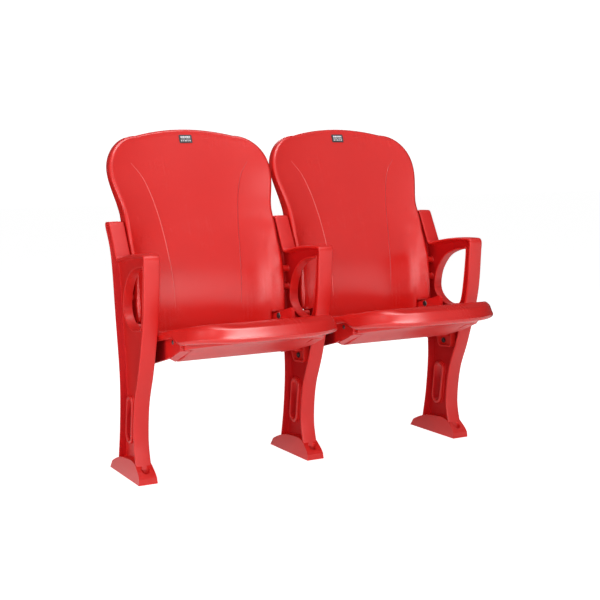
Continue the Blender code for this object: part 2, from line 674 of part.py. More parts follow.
def make_backrest(name, x, mat):
    """The middle runs on down behind the seat, with a notch beside it under each wing."""
    inner = BACK_ROUND
    reach = BAY_HALF - inner
    corner = back_hem(TAIL_HALF)
    side = TAIL_HALF - inner * NOTCH_SHARES[0]

    def lowest(t):
        across = abs(t) * reach
        if across < side + 0.0001:
            return BACK_TAIL + inner
        if across < TAIL_HALF:
            return corner + sqrt(max(inner ** 2 - (TAIL_HALF - across) ** 2, 0.0))
        return back_hem(across) + inner

    def surface(t, v):
        low, high = lowest(t), back_crown(t * BACK_SPREAD) - inner
        z = low + (high - low) * v
        width = back_half_width(min(z + inner * abs(t), BACK_SHOULDER)) - inner
        across = t * width
        return across, z, -back_face(across, z)

    def edge(t, v):
        across = t * reach
        sign = 1 if t > 0 else -1
        if v > 0 or abs(t) > 0.9999:
            return None
        if abs(across) < side + 0.0001:
            return across * TAIL_HALF / side, BACK_TAIL
        out = curve_value([(TAIL_HALF - inner, 0.0), (TAIL_HALF, NOTCH_ROUND)], abs(across))
        if abs(across) < TAIL_HALF + 0.0001:
            return sign * (TAIL_HALF + out), corner - (NOTCH_ROUND - out)
        return across, lowest(t) - inner

    def rim(a, b):
        skirt = curve_value(BACK_SKIRT, b)
        if b < BACK_HEM:
            skirt = curve_value([(TAIL_HALF, 0.008), (TAIL_HALF + 0.003, skirt)], abs(a))
        return BACK_ROUND, BACK_ROUND, skirt, 0.0, 0.0

    rows = [0.0, 0.07, 0.16, 0.26, 0.35, 0.44, 0.55, 0.67, 0.79, 0.91, 1.0]
    shell = rimmed_shell(back_columns(), rows, surface, rim, BACK_WALL, lambda a, b, c: (a, -c, b), edge)
    shell.name = name
    for sign in (-1, 1):
        for height in (BACK_BOLT_LOW, BACK_BOLT_HIGH):
            radius = BACK_SCREW + FIT_GAP
            ends = (sign * (BAY_HALF - 0.02), sign * (BAY_HALF + 0.01))
            cut(shell, turned("hole", [(end, radius) for end in ends],
                              (BACK_BOLT_REAR, height), 8))
        join(shell, back_rib(sign))
    return finish(shell, mat, location=(x, 0.0, 0.0))


def style_line(z):
    """Distance of the two curved styling lines from the backrest's middle, at a height."""
    low, high = back_level(-0.7178), back_level(0.7387)
    return LINE_LOW + (LINE_HIGH - LINE_LOW) * max((z - low) / (high - low), 0.0) ** 2.4


def back_rib(sign):
    """A stiffening rib on the rear face, under one styling line."""
    low, high = back_level(-0.6832), back_level(0.7253)
    rings = []
    for i in range(13):
        z = low + (high - low) * i / 12
        x = sign * style_line(z)
        y = back_face(x, z) + BACK_WALL * 0.7
        taper = min(1.0, 0.25 + i / 3, 0.25 + (12 - i) / 3)
        deep = y + BACK_WALL * 0.3 + RIB_HEIGHT * taper
        half = RIB_THICK / 2
        rings.append([(x - half, y, z), (x + half, y, z), (x + half * 0.6, deep, z),
                      (x - half * 0.6, deep, z)])
    return to_object("rib", loft(rings))


# Seats, in coordinates from the hinge axis

def seat_height(x, ahead):
    """Height of the seat's upper face above the axis, at a distance ahead of it."""
    back = SEAT_CREST - ahead
    soft = SEAT_EASE
    fall = SEAT_RAKE * (back + sqrt(back * back + soft * soft)) / 2
    across = min(abs(x) / BAY_HALF, 1.0)
    along = max(0.0, min(1.0, back / (SEAT_CREST - SEAT_TAIL)))
    return SEAT_RISE - fall - SEAT_DISH * (1 - across ** 2) * sin(pi * along) ** 2


def seat_front(t):
    """Front edge ahead of the axis; t runs across the seat from -1 to 1."""
    return SEAT_SHOULDER + (SEAT_REACH - SEAT_SHOULDER) * sqrt(max(1 - abs(t) ** SEAT_BOW, 0.0))


def seat_frontness(ahead):
    """0 along the sides and 1 round the front edge."""
    return curve_value([(SEAT_SHOULDER - 0.03, 0.0), (SEAT_SHOULDER + 0.09, 1.0)], ahead)


def seat_cornerness(t):
    """0 in the middle of the front edge and 1 round its corners."""
    return curve_value([(0.45, 0.0), (0.90, 1.0)], abs(t))


def seat_border(t):
    """Where the front roll begins, inside the front edge."""
    edge = Vector((t * BAY_HALF, seat_front(t)))
    step = 0.002
    near = max(-1.0, t - step)
    far = min(1.0, t + step)
    along = Vector(((far - near) * BAY_HALF, seat_front(far) - seat_front(near))).normalized()
    out = Vector((-along.y, along.x))
    if abs(t) > 0.9999:
        out = Vector((1.0 if t > 0 else -1.0, 0.0))
    run = SEAT_ROLL + (SEAT_CORNER_ROLL - SEAT_ROLL) * seat_cornerness(t)
    return edge - out * (SEAT_ROUND + (run - SEAT_ROUND) * seat_frontness(edge.y))


def make_seat_top(name, parent, mat):
    right = [0.0, 0.30, 0.56, 0.74, 0.86, 0.94, 0.984, 1.0]
    columns = [-t for t in right[:0:-1]] + right
    step = SEAT_STEP + SEAT_ROUND
    tail = [(SEAT_TAIL + SEAT_ROUND) + (step - 0.002 - SEAT_TAIL - SEAT_ROUND) * i / 3 for i in range(4)]
    front = [0.0, 0.04, 0.25, 0.47, 0.67, 0.85, 1.0]
    rows = [("tail", ahead) for ahead in tail] + [("front", v) for v in front]

    def surface(t, row):
        part, value = row
        if part == "tail":
            across, ahead = t * (SEAT_WAIST - SEAT_ROUND), value
        else:
            end = seat_border(t)
            across = t * (BAY_HALF - SEAT_ROUND) * (1 - value) + end.x * value
            ahead = step * (1 - value) + end.y * value
        return across, ahead, seat_height(across, ahead)

    def edge(t, row):
        part, value = row
        across, ahead, height = surface(t, row)
        if part == "tail":
            return t * SEAT_WAIST, {tail[0]: SEAT_TAIL, tail[-1]: SEAT_STEP}.get(value, ahead)
        if value == 1.0:
            return t * BAY_HALF, seat_front(t)
        return t * BAY_HALF, ahead if value else SEAT_STEP

    def rim(a, b):
        if abs(b - SEAT_STEP) < 0.001:
            return SEAT_ROUND, SEAT_ROUND, 0.0003, 0.0003, 0.0003
        front = seat_frontness(b)
        end = curve_value([(0.80, 0.0), (0.97, 1.0)], abs(a) / BAY_HALF)
        curl = SEAT_CURL_DROP + (SEAT_CORNER_CURL - SEAT_CURL_DROP) * front * end
        return (SEAT_ROUND, SEAT_ROUND + (SEAT_ROLL_DROP - SEAT_ROUND) * front,
                SEAT_SIDE_SKIRT + (SEAT_SKIRT - SEAT_SIDE_SKIRT) * front, SEAT_CURL, curl)

    top = rimmed_shell(columns, rows, surface, rim, SEAT_WALL, lambda a, b, c: (a, -b, c), edge)
    top.name = name
    return finish(top, mat, parent)


def pan_floor(ahead):
    """Height of the pan's lower face: it drops from the front to its lowest line and rises again behind."""
    toe = -PAN_DEPTH + PAN_SLOPE * (CHEEK_TOE - PAN_LOW)
    nose = SEAT_REACH - PAN_INSET
    return profile_value([(PAN_REAR, -PAN_REAR_DROP), (PAN_LOW, -PAN_DEPTH), (CHEEK_TOE, toe),
                          (nose, -PAN_NOSE_DROP)], ahead)


def make_pan(name, parent, mat):
    tail_half = CHEEK_OUTER - SOLE_WIDTH - PAN_GAP
    step = CHEEK_TOE + PAN_GAP + PAN_CHAMFER
    right = [0.0, 0.35, 0.66, 0.88, 1.0]
    columns = [-t for t in right[:0:-1]] + right
    start = PAN_REAR + PAN_CHAMFER
    tail = [start + (step - 0.002 - start) * v for v in (0.0, 0.24, 0.42, 0.56, 0.78, 1.0)]
    rows = [("tail", ahead) for ahead in tail] + [("front", v) for v in (0.0, 0.5, 1.0)]

    def nose(across):
        return seat_front(min(abs(across) * PAN_TAPER / BAY_HALF, 1.0)) - PAN_INSET

    def surface(t, row):
        part, value = row
        if part == "tail":
            across, ahead = t * (tail_half - PAN_CHAMFER), value
        else:
            across = t * (PAN_FRONT_HALF - PAN_CHAMFER)
            ahead = step + (max(nose(across), step + 0.004) - step) * value
        return across, ahead, -pan_floor(ahead)

    def rim(a, b):
        top = seat_height(a, b) - SEAT_WALL - FIT_GAP - 0.0012
        tall = top - pan_floor(b) - PAN_CHAMFER
        near = curve_value([(0.0, 1.0), (0.030, 0.0)], max(nose(a), step + 0.004) - b)
        return PAN_CHAMFER, PAN_CHAMFER, tall + (min(tall, PAN_LIP) - tall) * near, 0.0, 0.0

    pan = rimmed_shell(columns, rows, surface, rim, PAN_WALL, lambda a, b, c: (a, -b, -c))
    pan.name = name
    screw = (-CHEEK_SCREW_AHEAD, -CHEEK_SCREW_DROP)
    for sign in (-1, 1):
        boss = (sign * (tail_half - PAN_WALL / 2), sign * (CHEEK_INNER - FIT_GAP))
        join(pan, turned("boss", [(x, PAN_BOSS) for x in boss], screw, 10))
        hole = (sign * (tail_half - 0.010), sign * (CHEEK_INNER + 0.010))
        cut(pan, turned("hole", [(x, CHEEK_SCREW + FIT_GAP) for x in hole], screw, 8))
    return finish(pan, mat, parent)


def cheek_lower(ahead):
    """Height of the cheek's lower edge, from the heel to the toe."""
    if ahead < CHEEK_BEND:
        return -CHEEK_HEEL_DROP + CHEEK_SLOPE * (ahead - CHEEK_HEEL)
    bend = cheek_lower(CHEEK_BEND - 0.0001)
    toe = sole_lower(CHEEK_TOE) + 0.002
    return bend + (toe - bend) * (ahead - CHEEK_BEND) / (CHEEK_TOE - CHEEK_BEND)


def sole_lower(ahead):
    """Height of the lower face of the cheek's inward flange."""
    return -PAN_DEPTH + PAN_SLOPE * (ahead - PAN_LOW)


def cheek_outline():
    """The cheek's outline as (ahead, height)."""
    middle = (CHEEK_INNER + CHEEK_OUTER) / 2
    lower = [CHEEK_HEEL, CHEEK_BEND, CHEEK_TOE - 0.005]
    outline = [(ahead, cheek_lower(ahead)) for ahead in lower]
    outline.append((CHEEK_TOE, cheek_lower(CHEEK_TOE) + 0.006))
    tops = [CHEEK_TOE + (EAR_FRONT - CHEEK_TOE) * i / 5 for i in range(6)]
    outline += [(ahead, seat_height(middle, ahead) - CHEEK_UNDER) for ahead in tops]
    outline += arc((EAR_FRONT - EAR_ROUND, EAR_TOP - EAR_ROUND), EAR_ROUND, 0, 76, 4)
    outline += arc((-CHEEK_BACK + 0.010, EAR_REAR_TOP - 0.008), 0.010, 76, 195, 4)
    outline.append((CHEEK_HEEL - 0.014, -CHEEK_HEEL_DROP + 0.014))
    outline.append((CHEEK_HEEL - 0.007, -CHEEK_HEEL_DROP + 0.003))
    return outline


def make_sole(sign):
    """The flange that turns in from the cheek's lower edge."""
    outer, inner = CHEEK_OUTER - 0.0005, CHEEK_OUTER - SOLE_WIDTH
    corners = [(outer, SOLE_REAR), (outer, CHEEK_TOE - 0.001), (inner, CHEEK_TOE - 0.010),
               (inner, SOLE_REAR - SOLE_SKEW)]
    rings = [[(sign * reach, -ahead, sole_lower(ahead) + lift) for reach, ahead in corners]
             for lift in (0.0, SOLE_THICK)]
    return to_object("sole", loft(rings))


def slot_ring(centre, length, width):
    """A round-ended recess, level."""
    run = (length - width) / 2
    return (arc((centre[0] + run, centre[1]), width / 2, -90, 90, 4)
            + arc((centre[0] - run, centre[1]), width / 2, 90, 270, 4))


def make_cheek(name, sign, parent, mat):
    outline = [(-ahead, z) for ahead, z in cheek_outline()]
    cheek = prism(name, outline, sign * CHEEK_INNER, sign * CHEEK_OUTER)
    join(cheek, make_sole(sign))
    post = (sign * (CHEEK_OUTER - 0.002), sign * (CHEEK_OUTER + STOP_REACH))
    join(cheek, turned("post", [(x, STOP_RADIUS) for x in post], (-STOP_AHEAD, -STOP_DROP), 12))
    bore = PIVOT_RADIUS + BEARING_GAP + BUSH_WALL + FIT_GAP
    reach = (sign * (CHEEK_INNER - 0.005), sign * (CHEEK_OUTER + 0.005))
    cut(cheek, turned("bore", [(x, bore) for x in reach], (0.0, 0.0), 20))
    screw = (-CHEEK_SCREW_AHEAD, -CHEEK_SCREW_DROP)
    cut(cheek, turned("hole", [(x, CHEEK_SCREW + FIT_GAP) for x in reach], screw, 8))
    recess = slot_ring(screw, 0.026, CHEEK_HEAD * 2 + 0.004)
    cut(cheek, prism("recess", recess, sign * (CHEEK_OUTER - CHEEK_RECESS), sign * (CHEEK_OUTER + 0.005)))
    return finish(cheek, mat, parent)


def make_bush(name, sign, parent, mat):
    bore = PIVOT_RADIUS + BEARING_GAP
    bush = turned(name, [(sign * x, bore + BUSH_WALL) for x in (CHEEK_INNER, CHEEK_OUTER)], (0.0, 0.0), 20)
    reach = (CHEEK_INNER - 0.002, CHEEK_OUTER + 0.002)
    cut(bush, turned("bore", [(sign * x, bore) for x in reach], (0.0, 0.0), 20))
    return finish(bush, mat, parent)


def make_cheek_screw(name, sign, parent, mat):
    seat = CHEEK_OUTER - CHEEK_RECESS + FIT_GAP
    centre = (-CHEEK_SCREW_AHEAD, -CHEEK_SCREW_DROP)
    end = CHEEK_OUTER - SOLE_WIDTH - PAN_GAP - 0.006
    profile = [(end, CHEEK_SCREW * 0.55), (end + 0.003, CHEEK_SCREW), (seat, CHEEK_SCREW),
               (seat, CHEEK_HEAD),
               (seat + 0.002, CHEEK_HEAD), (seat + 0.0036, CHEEK_HEAD * 0.82)]
    screw = turned(name, [(sign * x, r) for x, r in profile], centre, 8)
    depth = (sign * (seat + 0.0012), sign * (seat + 0.006))
    cut(screw, turned("socket", [(end, 0.0030) for end in depth], centre, 6))
    return finish(screw, mat, parent)


# Hinges, in coordinates from the hinge axis

def block_outline():
    """Base of the hinge block: a plate that wraps the axis, the lower bolt and the front wall."""
    toe = BLOCK_TOE
    circles = [((0.0, 0.0), BLOCK_BOSS), ((-BLOCK_BOLT_AHEAD, -BLOCK_DROP), 0.019),
               ((-toe, -BLOCK_TOE_LOW), 0.012), ((-toe, -BLOCK_TOE_HIGH), 0.012)]
    points = []
    for centre, radius in circles:
        points += [(round(y, 6), round(z, 6)) for y, z in arc(centre, radius, 0, 330, 11)]
    return hull(points)


def make_block(name, sign, place, mat):
    face = WEB_FACE - WEB_PAD - FIT_GAP
    inner = face - BLOCK_BASE
    edge = HALF_BAY - FLANGE_WIDTH / 2 - BLOCK_PROUD
    outline = block_outline()
    block = prism(name, outline, sign * face, sign * edge)
    cut(block, prism("hollow", inset(outline, BLOCK_WALL), sign * inner, sign * (edge - 0.005)))
    root = (sign * (face - 0.001), BLOCK_BOSS * 0.97)
    tip = (sign * (CHEEK_OUTER + FIT_GAP), BLOCK_BOSS * 0.92)
    join(block, turned("boss", [root, tip], (0.0, 0.0), 18))
    top = buffer_top() - BUFFER_HEIGHT - FIT_GAP
    half = BUFFER_LENGTH / 2 + 0.002
    ledge = [(-STOP_AHEAD - half, top), (-STOP_AHEAD - half, top - LEDGE_HEIGHT),
             (-STOP_AHEAD + half, top - LEDGE_HEIGHT), (-STOP_AHEAD + half, top)]
    join(block, prism("ledge", ledge, sign * (face - 0.001), sign * (edge - BUFFER_WIDTH - 0.001)))
    thread = [(sign * (CHEEK_OUTER - 0.005), PIVOT_THREAD + FIT_GAP),
              (sign * (CHEEK_OUTER + PIVOT_THREAD_LENGTH + 2 * FIT_GAP), PIVOT_THREAD + FIT_GAP)]
    cut(block, turned("thread", thread, (0.0, 0.0), 20))
    hole = [(sign * (inner - 0.010), BLOCK_BOLT + FIT_GAP), (sign * (face + 0.010), BLOCK_BOLT + FIT_GAP)]
    cut(block, turned("hole", hole, (-BLOCK_BOLT_AHEAD, -BLOCK_DROP), 8))
    return finish(block, mat, None, place)


def buffer_top():
    """The rubber's upper face, under the cheek's stop post."""
    return -STOP_DROP - STOP_RADIUS - FIT_GAP


def make_buffer(name, sign, place, mat):
    edge = HALF_BAY - FLANGE_WIDTH / 2 - BLOCK_PROUD
    half = BUFFER_LENGTH / 2
    low, high = buffer_top() - BUFFER_HEIGHT, buffer_top()
    outline = [(-STOP_AHEAD - half, low), (-STOP_AHEAD + half, low), (-STOP_AHEAD + half * 0.8, high),
               (-STOP_AHEAD - half * 0.8, high)]
    rubber = prism(name, outline, sign * (edge - BUFFER_WIDTH), sign * edge)
    return finish(rubber, mat, None, place)


def make_pivot_bolt(name, sign, place, mat):
    head = CHEEK_INNER - FIT_GAP
    end = CHEEK_OUTER + PIVOT_THREAD_LENGTH
    profile = [(head - PIVOT_HEAD_THICK, PIVOT_HEAD), (head, PIVOT_HEAD), (head, PIVOT_RADIUS),
               (CHEEK_OUTER + FIT_GAP / 2, PIVOT_RADIUS),
               (CHEEK_OUTER + FIT_GAP / 2, PIVOT_THREAD), (end, PIVOT_THREAD)]
    bolt = turned(name, [(sign * x, r) for x, r in profile], (0.0, 0.0), 20)
    start = head - PIVOT_HEAD_THICK
    depth = (sign * (start - 0.004), sign * (start + 0.002))
    cut(bolt, turned("socket", [(end, 0.0042) for end in depth], (0.0, 0.0), 6))
    return finish(bolt, mat, None, place)


def make_hex_bolt(name, sign, seat, end, radius, place, mat):
    """A hexagon bolt along X: its head lies inside the seat position and its shank runs out to the end."""
    corner = HEX_HEAD / cos(pi / 6)
    bolt = turned(name, [(sign * (seat - HEX_THICK), corner), (sign * seat, corner)], (0.0, 0.0), 6)
    join(bolt, turned("shank", [(sign * (seat - 0.001), radius), (sign * end, radius)], (0.0, 0.0), 8))
    return finish(bolt, mat, None, place)


# Number plate

def make_plate(name, x, mat):
    z = BACK_TOP - PLATE_DROP
    lean = atan2(back_face(0.0, z + 0.005) - back_face(0.0, z - 0.005), 0.010)
    half, tall, radius = PLATE_WIDTH / 2, PLATE_HEIGHT / 2, 0.003
    outline = []
    for sx, sz, start in ((1, 1, 0), (-1, 1, 90), (-1, -1, 180), (1, -1, 270)):
        outline += arc((sx * (half - radius), sz * (tall - radius)), radius, start, start + 90, 4)
    rings = []
    for lift in (FIT_GAP + 0.0001, FIT_GAP + 0.0001 + PLATE_THICK):
        rings.append([(u, back_face(0.0, z) + v * sin(lean) - lift * cos(lean),
                       z + v * cos(lean) + lift * sin(lean))
                      for u, v in outline])
    return finish(to_object(name, loft(rings)), mat, None, (x, 0.0, 0.0))


def build():
    clear_scene()
    red_satin = material("red_satin_plastic", RED, 0.42)
    red_gloss = material("red_gloss_plastic", RED, 0.30)
    steel = material("dark_steel", DARK_STEEL, 0.45, 0.9)
    rubber = material("black_rubber", BLACK, 0.8)
    nylon = material("pale_nylon", NYLON, 0.5)
    plate = material("black_plate", BLACK, 0.4)
    facing = {"left": (1,), "middle": (-1, 1), "right": (-1,)}
    for key, x in STANDARDS.items():
        make_standard("standard_" + key, x, facing[key], red_satin)
    for seat, x in SEAT_CENTRES.items():
        make_backrest("backrest_" + seat, x, red_gloss)
        make_plate("number_plate_" + seat, x, plate)
        axis = (x, -PIVOT_AHEAD, PIVOT_HEIGHT)
        hinge = bpy.data.objects.new("hinge_" + seat, None)
        bpy.context.scene.collection.objects.link(hinge)
        hinge.location = axis
        make_seat_top("seat_top_" + seat, hinge, red_gloss)
        make_pan("seat_pan_" + seat, hinge, red_satin)
        for hand, sign in (("a", -1), ("b", 1)):
            tag = seat + "_" + hand
            make_cheek("seat_cheek_" + tag, sign, hinge, red_satin)
            make_cheek_screw("cheek_screw_" + tag, sign, hinge, steel)
            make_bush("pivot_bush_" + tag, sign, hinge, nylon)
            make_block("hinge_block_" + tag, sign, axis, red_satin)
            make_buffer("stop_buffer_" + tag, sign, axis, rubber)
            make_pivot_bolt("pivot_bolt_" + tag, sign, axis, steel)
            inner = WEB_FACE - WEB_PAD - FIT_GAP - BLOCK_BASE - FIT_GAP
            make_hex_bolt("hinge_block_bolt_" + tag, sign, inner, HALF_BAY - 0.0008 - FIT_GAP, BLOCK_BOLT,
                          (x, axis[1] - BLOCK_BOLT_AHEAD, axis[2] - BLOCK_DROP), steel)
            for level, height in (("low", BACK_BOLT_LOW), ("high", BACK_BOLT_HIGH)):
                make_hex_bolt("backrest_bolt_" + tag + "_" + level, sign, BAY_HALF - BACK_WALL - FIT_GAP,
                              HALF_BAY - 0.001 - FIT_GAP, BACK_SCREW, (x, BACK_BOLT_REAR, height), steel)


build()
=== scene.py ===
from math import atan2, cos, pi, radians, sin, sqrt
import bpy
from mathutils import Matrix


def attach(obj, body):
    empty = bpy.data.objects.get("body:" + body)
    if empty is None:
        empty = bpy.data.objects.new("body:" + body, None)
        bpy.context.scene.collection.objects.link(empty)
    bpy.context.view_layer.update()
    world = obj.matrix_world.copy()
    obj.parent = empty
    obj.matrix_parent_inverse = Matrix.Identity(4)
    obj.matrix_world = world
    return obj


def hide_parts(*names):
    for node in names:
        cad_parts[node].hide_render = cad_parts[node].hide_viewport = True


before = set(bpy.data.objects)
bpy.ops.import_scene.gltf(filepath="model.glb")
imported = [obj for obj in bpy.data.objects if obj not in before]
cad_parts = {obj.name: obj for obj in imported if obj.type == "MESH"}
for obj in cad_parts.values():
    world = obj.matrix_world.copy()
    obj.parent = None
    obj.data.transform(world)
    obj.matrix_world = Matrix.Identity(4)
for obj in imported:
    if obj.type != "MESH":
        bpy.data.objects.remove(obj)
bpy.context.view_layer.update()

from types import SimpleNamespace as Sizes

import bmesh
import bpy
from mathutils import Matrix, Vector

# sizes in metres, angles in degrees; x runs along the row, y to the rear and z up
row = Sizes(
    pitch=0.520, gap=0.0003, runGap=0.0045, standards={"left": -0.520, "middle": 0.0, "right": 0.520},
    seats={"left": -0.260, "right": 0.260})
slack = 0.0001  # how near counts as the same place


# Curves and outlines

def ease(stations, at):
    if at <= stations[0][0]:
        return stations[0][1]
    for (a, u), (b, v) in zip(stations, stations[1:]):
        if at <= b:
            t = (at - a) / (b - a)
            return u + (v - u) * t * t * (3 - 2 * t)
    return stations[-1][1]


def through(points, at):
    last = len(points) - 1
    k = 0
    while k < last - 1 and at > points[k + 1][0]:
        k += 1
    (p1, v1), (p2, v2) = points[k], points[k + 1]
    p0, v0 = points[k - 1] if k else (2 * p1 - p2, 2 * v1 - v2)
    p3, v3 = points[k + 2] if k + 2 <= last else (2 * p2 - p1, 2 * v2 - v1)
    span = p2 - p1
    rise = (v2 - v0) / (p2 - p0) * span
    leave = (v3 - v1) / (p3 - p1) * span
    t = (at - p1) / span
    return ((2 * t ** 3 - 3 * t * t + 1) * v1 + (t ** 3 - 2 * t * t + t) * rise
            + (3 * t * t - 2 * t ** 3) * v2 + (t ** 3 - t * t) * leave)


def spline(points, steps, closed=False):
    count = len(points)
    curve = []
    for k in range(count if closed else count - 1):
        p1, p2 = Vector(points[k]), Vector(points[(k + 1) % count])
        p0 = Vector(points[k - 1]) if closed or k else 2 * p1 - p2
        p3 = Vector(points[(k + 2) % count]) if closed or k + 2 < count else 2 * p2 - p1
        for i in range(steps):
            t = i / steps
            curve.append(0.5 * (2 * p1 + (p2 - p0) * t + (2 * p0 - 5 * p1 + 4 * p2 - p3) * t * t
                                + (3 * p1 - p0 - 3 * p2 + p3) * t ** 3))
    if not closed:
        curve.append(Vector(points[-1]))
    return [tuple(p) for p in curve]


def evenly(first, last, steps):
    return [first + (last - first) * i / steps for i in range(steps + 1)]


def arc(centre, radius, start, end, steps):
    angles = [radians(a) for a in evenly(start, end, steps)]
    return [(centre[0] + radius * cos(a), centre[1] + radius * sin(a)) for a in angles]


def areaOf(outline):
    return sum(a[0] * b[1] - b[0] * a[1] for a, b in zip(outline, outline[1:] + outline[:1])) / 2


def sideways(points):
    turn = 1 if areaOf(points) > 0 else -1
    count = len(points)
    found = []
    for i in range(count):
        before, here, after = (Vector(points[(i + d) % count]) for d in (-1, 0, 1))
        one, two = (here - before).normalized(), (after - here).normalized()
        side = Vector((one.y, -one.x)) * turn
        bisector = (side + Vector((two.y, -two.x)) * turn).normalized()
        found.append(bisector / max(bisector.dot(side), 0.6))  # sharp corners aren't pushed far out
    return found


def moved(outline, outward):
    return [tuple(Vector(p) + n * outward) for p, n in zip(outline, sideways(outline))]


def rounded(points, radii, steps=6):
    # each corner with a radius is replaced by an arc that touches its two sides
    count = len(points)
    outline = []
    for i in range(count):
        here, radius = Vector(points[i]), radii[i]
        if radius <= 0:
            outline.append(tuple(here))
            continue
        one = (Vector(points[i - 1]) - here).normalized()
        two = (Vector(points[(i + 1) % count]) - here).normalized()
        half = one.angle(two) / 2
        slope = max(sin(half), 0.05)  # keeps the arc of a very sharp corner near it
        back = radius / slope * cos(half)
        centre = here + (one + two).normalized() * radius / slope
        start, end = here + one * back - centre, here + two * back - centre
        sweep = start.angle_signed(end) * -1
        first = atan2(start.y, start.x)
        for k in range(steps + 1):
            angle = first + sweep * k / steps
            outline.append((centre.x + radius * cos(angle), centre.y + radius * sin(angle)))
    return outline


def mirrored(count):
    # shares of the half width from edge to edge, closer together near the edges
    right = [sin(radians(90 * i / count)) for i in range(count + 1)]
    return [-t for t in right[:0:-1]] + right


# Meshes

def skin(bm, rings, closed=True):
    verts = [[bm.verts.new(p) for p in ring] for ring in rings]
    for low, high in zip(verts, verts[1:]):
        count = len(low)
        for i in range(count if closed else count - 1):
            j = (i + 1) % count
            bm.faces.new((low[i], low[j], high[j], high[i]))
    return verts


def loft(rings):
    bm = bmesh.new()
    verts = skin(bm, rings)
    bm.faces.new(verts[0][::-1])
    bm.faces.new(verts[-1])
    bmesh.ops.recalc_face_normals(bm, faces=bm.faces)
    return bm


def prism(outline, low, high, sign=1):
    return loft([[(sign * x, y, z) for y, z in outline] for x in (low, high)])


def turned(profile, centre, sides=32, sign=1, axis="X"):
    rings = []
    for along, radius in profile:
        ring = []
        for i in range(sides):
            a = 2 * pi * i / sides
            u, v = centre[0] + radius * cos(a), centre[1] + radius * sin(a)
            ring.append((sign * along, u, v) if axis == "X" else (u, v, along))
        rings.append(ring)
    return loft(rings)


def preset(thing, **settings):
    for key, value in settings.items():
        setattr(thing, key, value)
    return thing


def linked(name, data):
    obj = bpy.data.objects.new(name, data)
    bpy.context.scene.collection.objects.link(obj)
    return obj


def rawObject(name, bm):
    mesh = bpy.data.meshes.new(name)
    bm.to_mesh(mesh)
    bm.free()
    return linked(name, mesh)


def settled(obj):
    # the mesh with its modifiers applied
    bpy.context.view_layer.update()
    mesh = bpy.data.meshes.new_from_object(obj.evaluated_get(bpy.context.evaluated_depsgraph_get()))
    obj.modifiers.clear()
    obj.data = mesh
    return obj


def combine(obj, bm, operation):
    tool = rawObject("tool", bm)
    preset(obj.modifiers.new("step", "BOOLEAN"), operation=operation, solver="EXACT", object=tool)
    settled(obj)
    bpy.data.objects.remove(tool)
    return obj


def soften(obj, width, segments=3, angle=32):
    preset(obj.modifiers.new("weld", "WELD"), merge_threshold=0.00002)
    preset(obj.modifiers.new("edge", "BEVEL"), width=width, segments=segments, limit_method="ANGLE",
           angle_limit=radians(angle), use_clamp_overlap=True)
    return settled(obj)


def dress(obj, look, body, node, slot, smooth, at=(0.0, 0.0, 0.0), flat=True):
    obj.data.materials.clear()
    obj.data.materials.append(look)
    obj.data.shade_smooth()
    obj.data.set_sharp_from_angle(angle=radians(smooth))
    obj.location = at
    if flat:
        obj.modifiers.new("evenShade", "WEIGHTED_NORMAL").keep_sharp = True
    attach(obj, body)
    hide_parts(node)


def quarter(turns):
    return [(sin(pi / 2 * k / turns), 1 - cos(pi / 2 * k / turns)) for k in range(1, turns + 1)]


def shell(name, columns, rows, surface, rim, wall, place, edge=None, roll=quarter(6)):
    # a moulded sheet whose border rolls over, drops as a skirt and may curl in
    grid = [[surface(column, line) for column in columns] for line in rows]
    lastRow, lastColumn = len(rows) - 1, len(columns) - 1
    border = ([(0, j) for j in range(lastColumn)] + [(i, lastColumn) for i in range(lastRow)]
              + [(lastRow, j) for j in range(lastColumn, 0, -1)] + [(i, 0) for i in range(lastRow, 0, -1)])
    ring = [grid[i][j] for i, j in border]
    normals = sideways([(a, b) for a, b, c in ring])
    outs, rims = [], []
    for (i, j), (a, b, c), normal in zip(border, ring, normals):
        end = edge(columns[j], rows[i]) if edge else None
        rims.append(rim(*(end or (a, b))))
        outs.append(Vector((end[0] - a, end[1] - b)) if end else normal * rims[-1][0])
    stages = []
    for out, down in roll:
        stages.append([(out, 0.0, fall * down) for run, fall, skirt, curl, drop in rims])
    stages.append([(1.0, 0.0, fall + skirt) for run, fall, skirt, curl, drop in rims])
    if any(curl for run, fall, skirt, curl, drop in rims):
        for k in range(1, 5):
            share = pi / 2 * k / 4
            stages.append([(1.0, curl * (1 - cos(share)), fall + skirt + drop * sin(share))
                           for run, fall, skirt, curl, drop in rims])
    bm = bmesh.new()
    verts = skin(bm, [[place(*p) for p in line] for line in grid], False)
    previous = [verts[i][j] for i, j in border]
    for stage in stages:
        current = []
        for (a, b, c), out, (share, back, down) in zip(ring, outs, stage):
            step = out * share - out.normalized() * back
            current.append(bm.verts.new(place(a + step.x, b + step.y, c - down)))
        for k in range(len(border)):
            n = (k + 1) % len(border)
            bm.faces.new((previous[k], previous[n], current[n], current[k]))
        previous = current
    bmesh.ops.recalc_face_normals(bm, faces=bm.faces)
    bm.faces.ensure_lookup_table()
    bm.normal_update()
    middle = bm.faces[(lastRow // 2) * lastColumn + lastColumn // 2]
    up = Vector(place(0.0, 0.0, 1.0)) - Vector(place(0.0, 0.0, 0.0))
    if middle.normal.dot(up) < 0:
        bmesh.ops.reverse_faces(bm, faces=bm.faces)
    obj = rawObject(name, bm)
    preset(obj.modifiers.new("wall", "SOLIDIFY"), thickness=wall, offset=-1.0)
    return settled(obj)


# Finishes

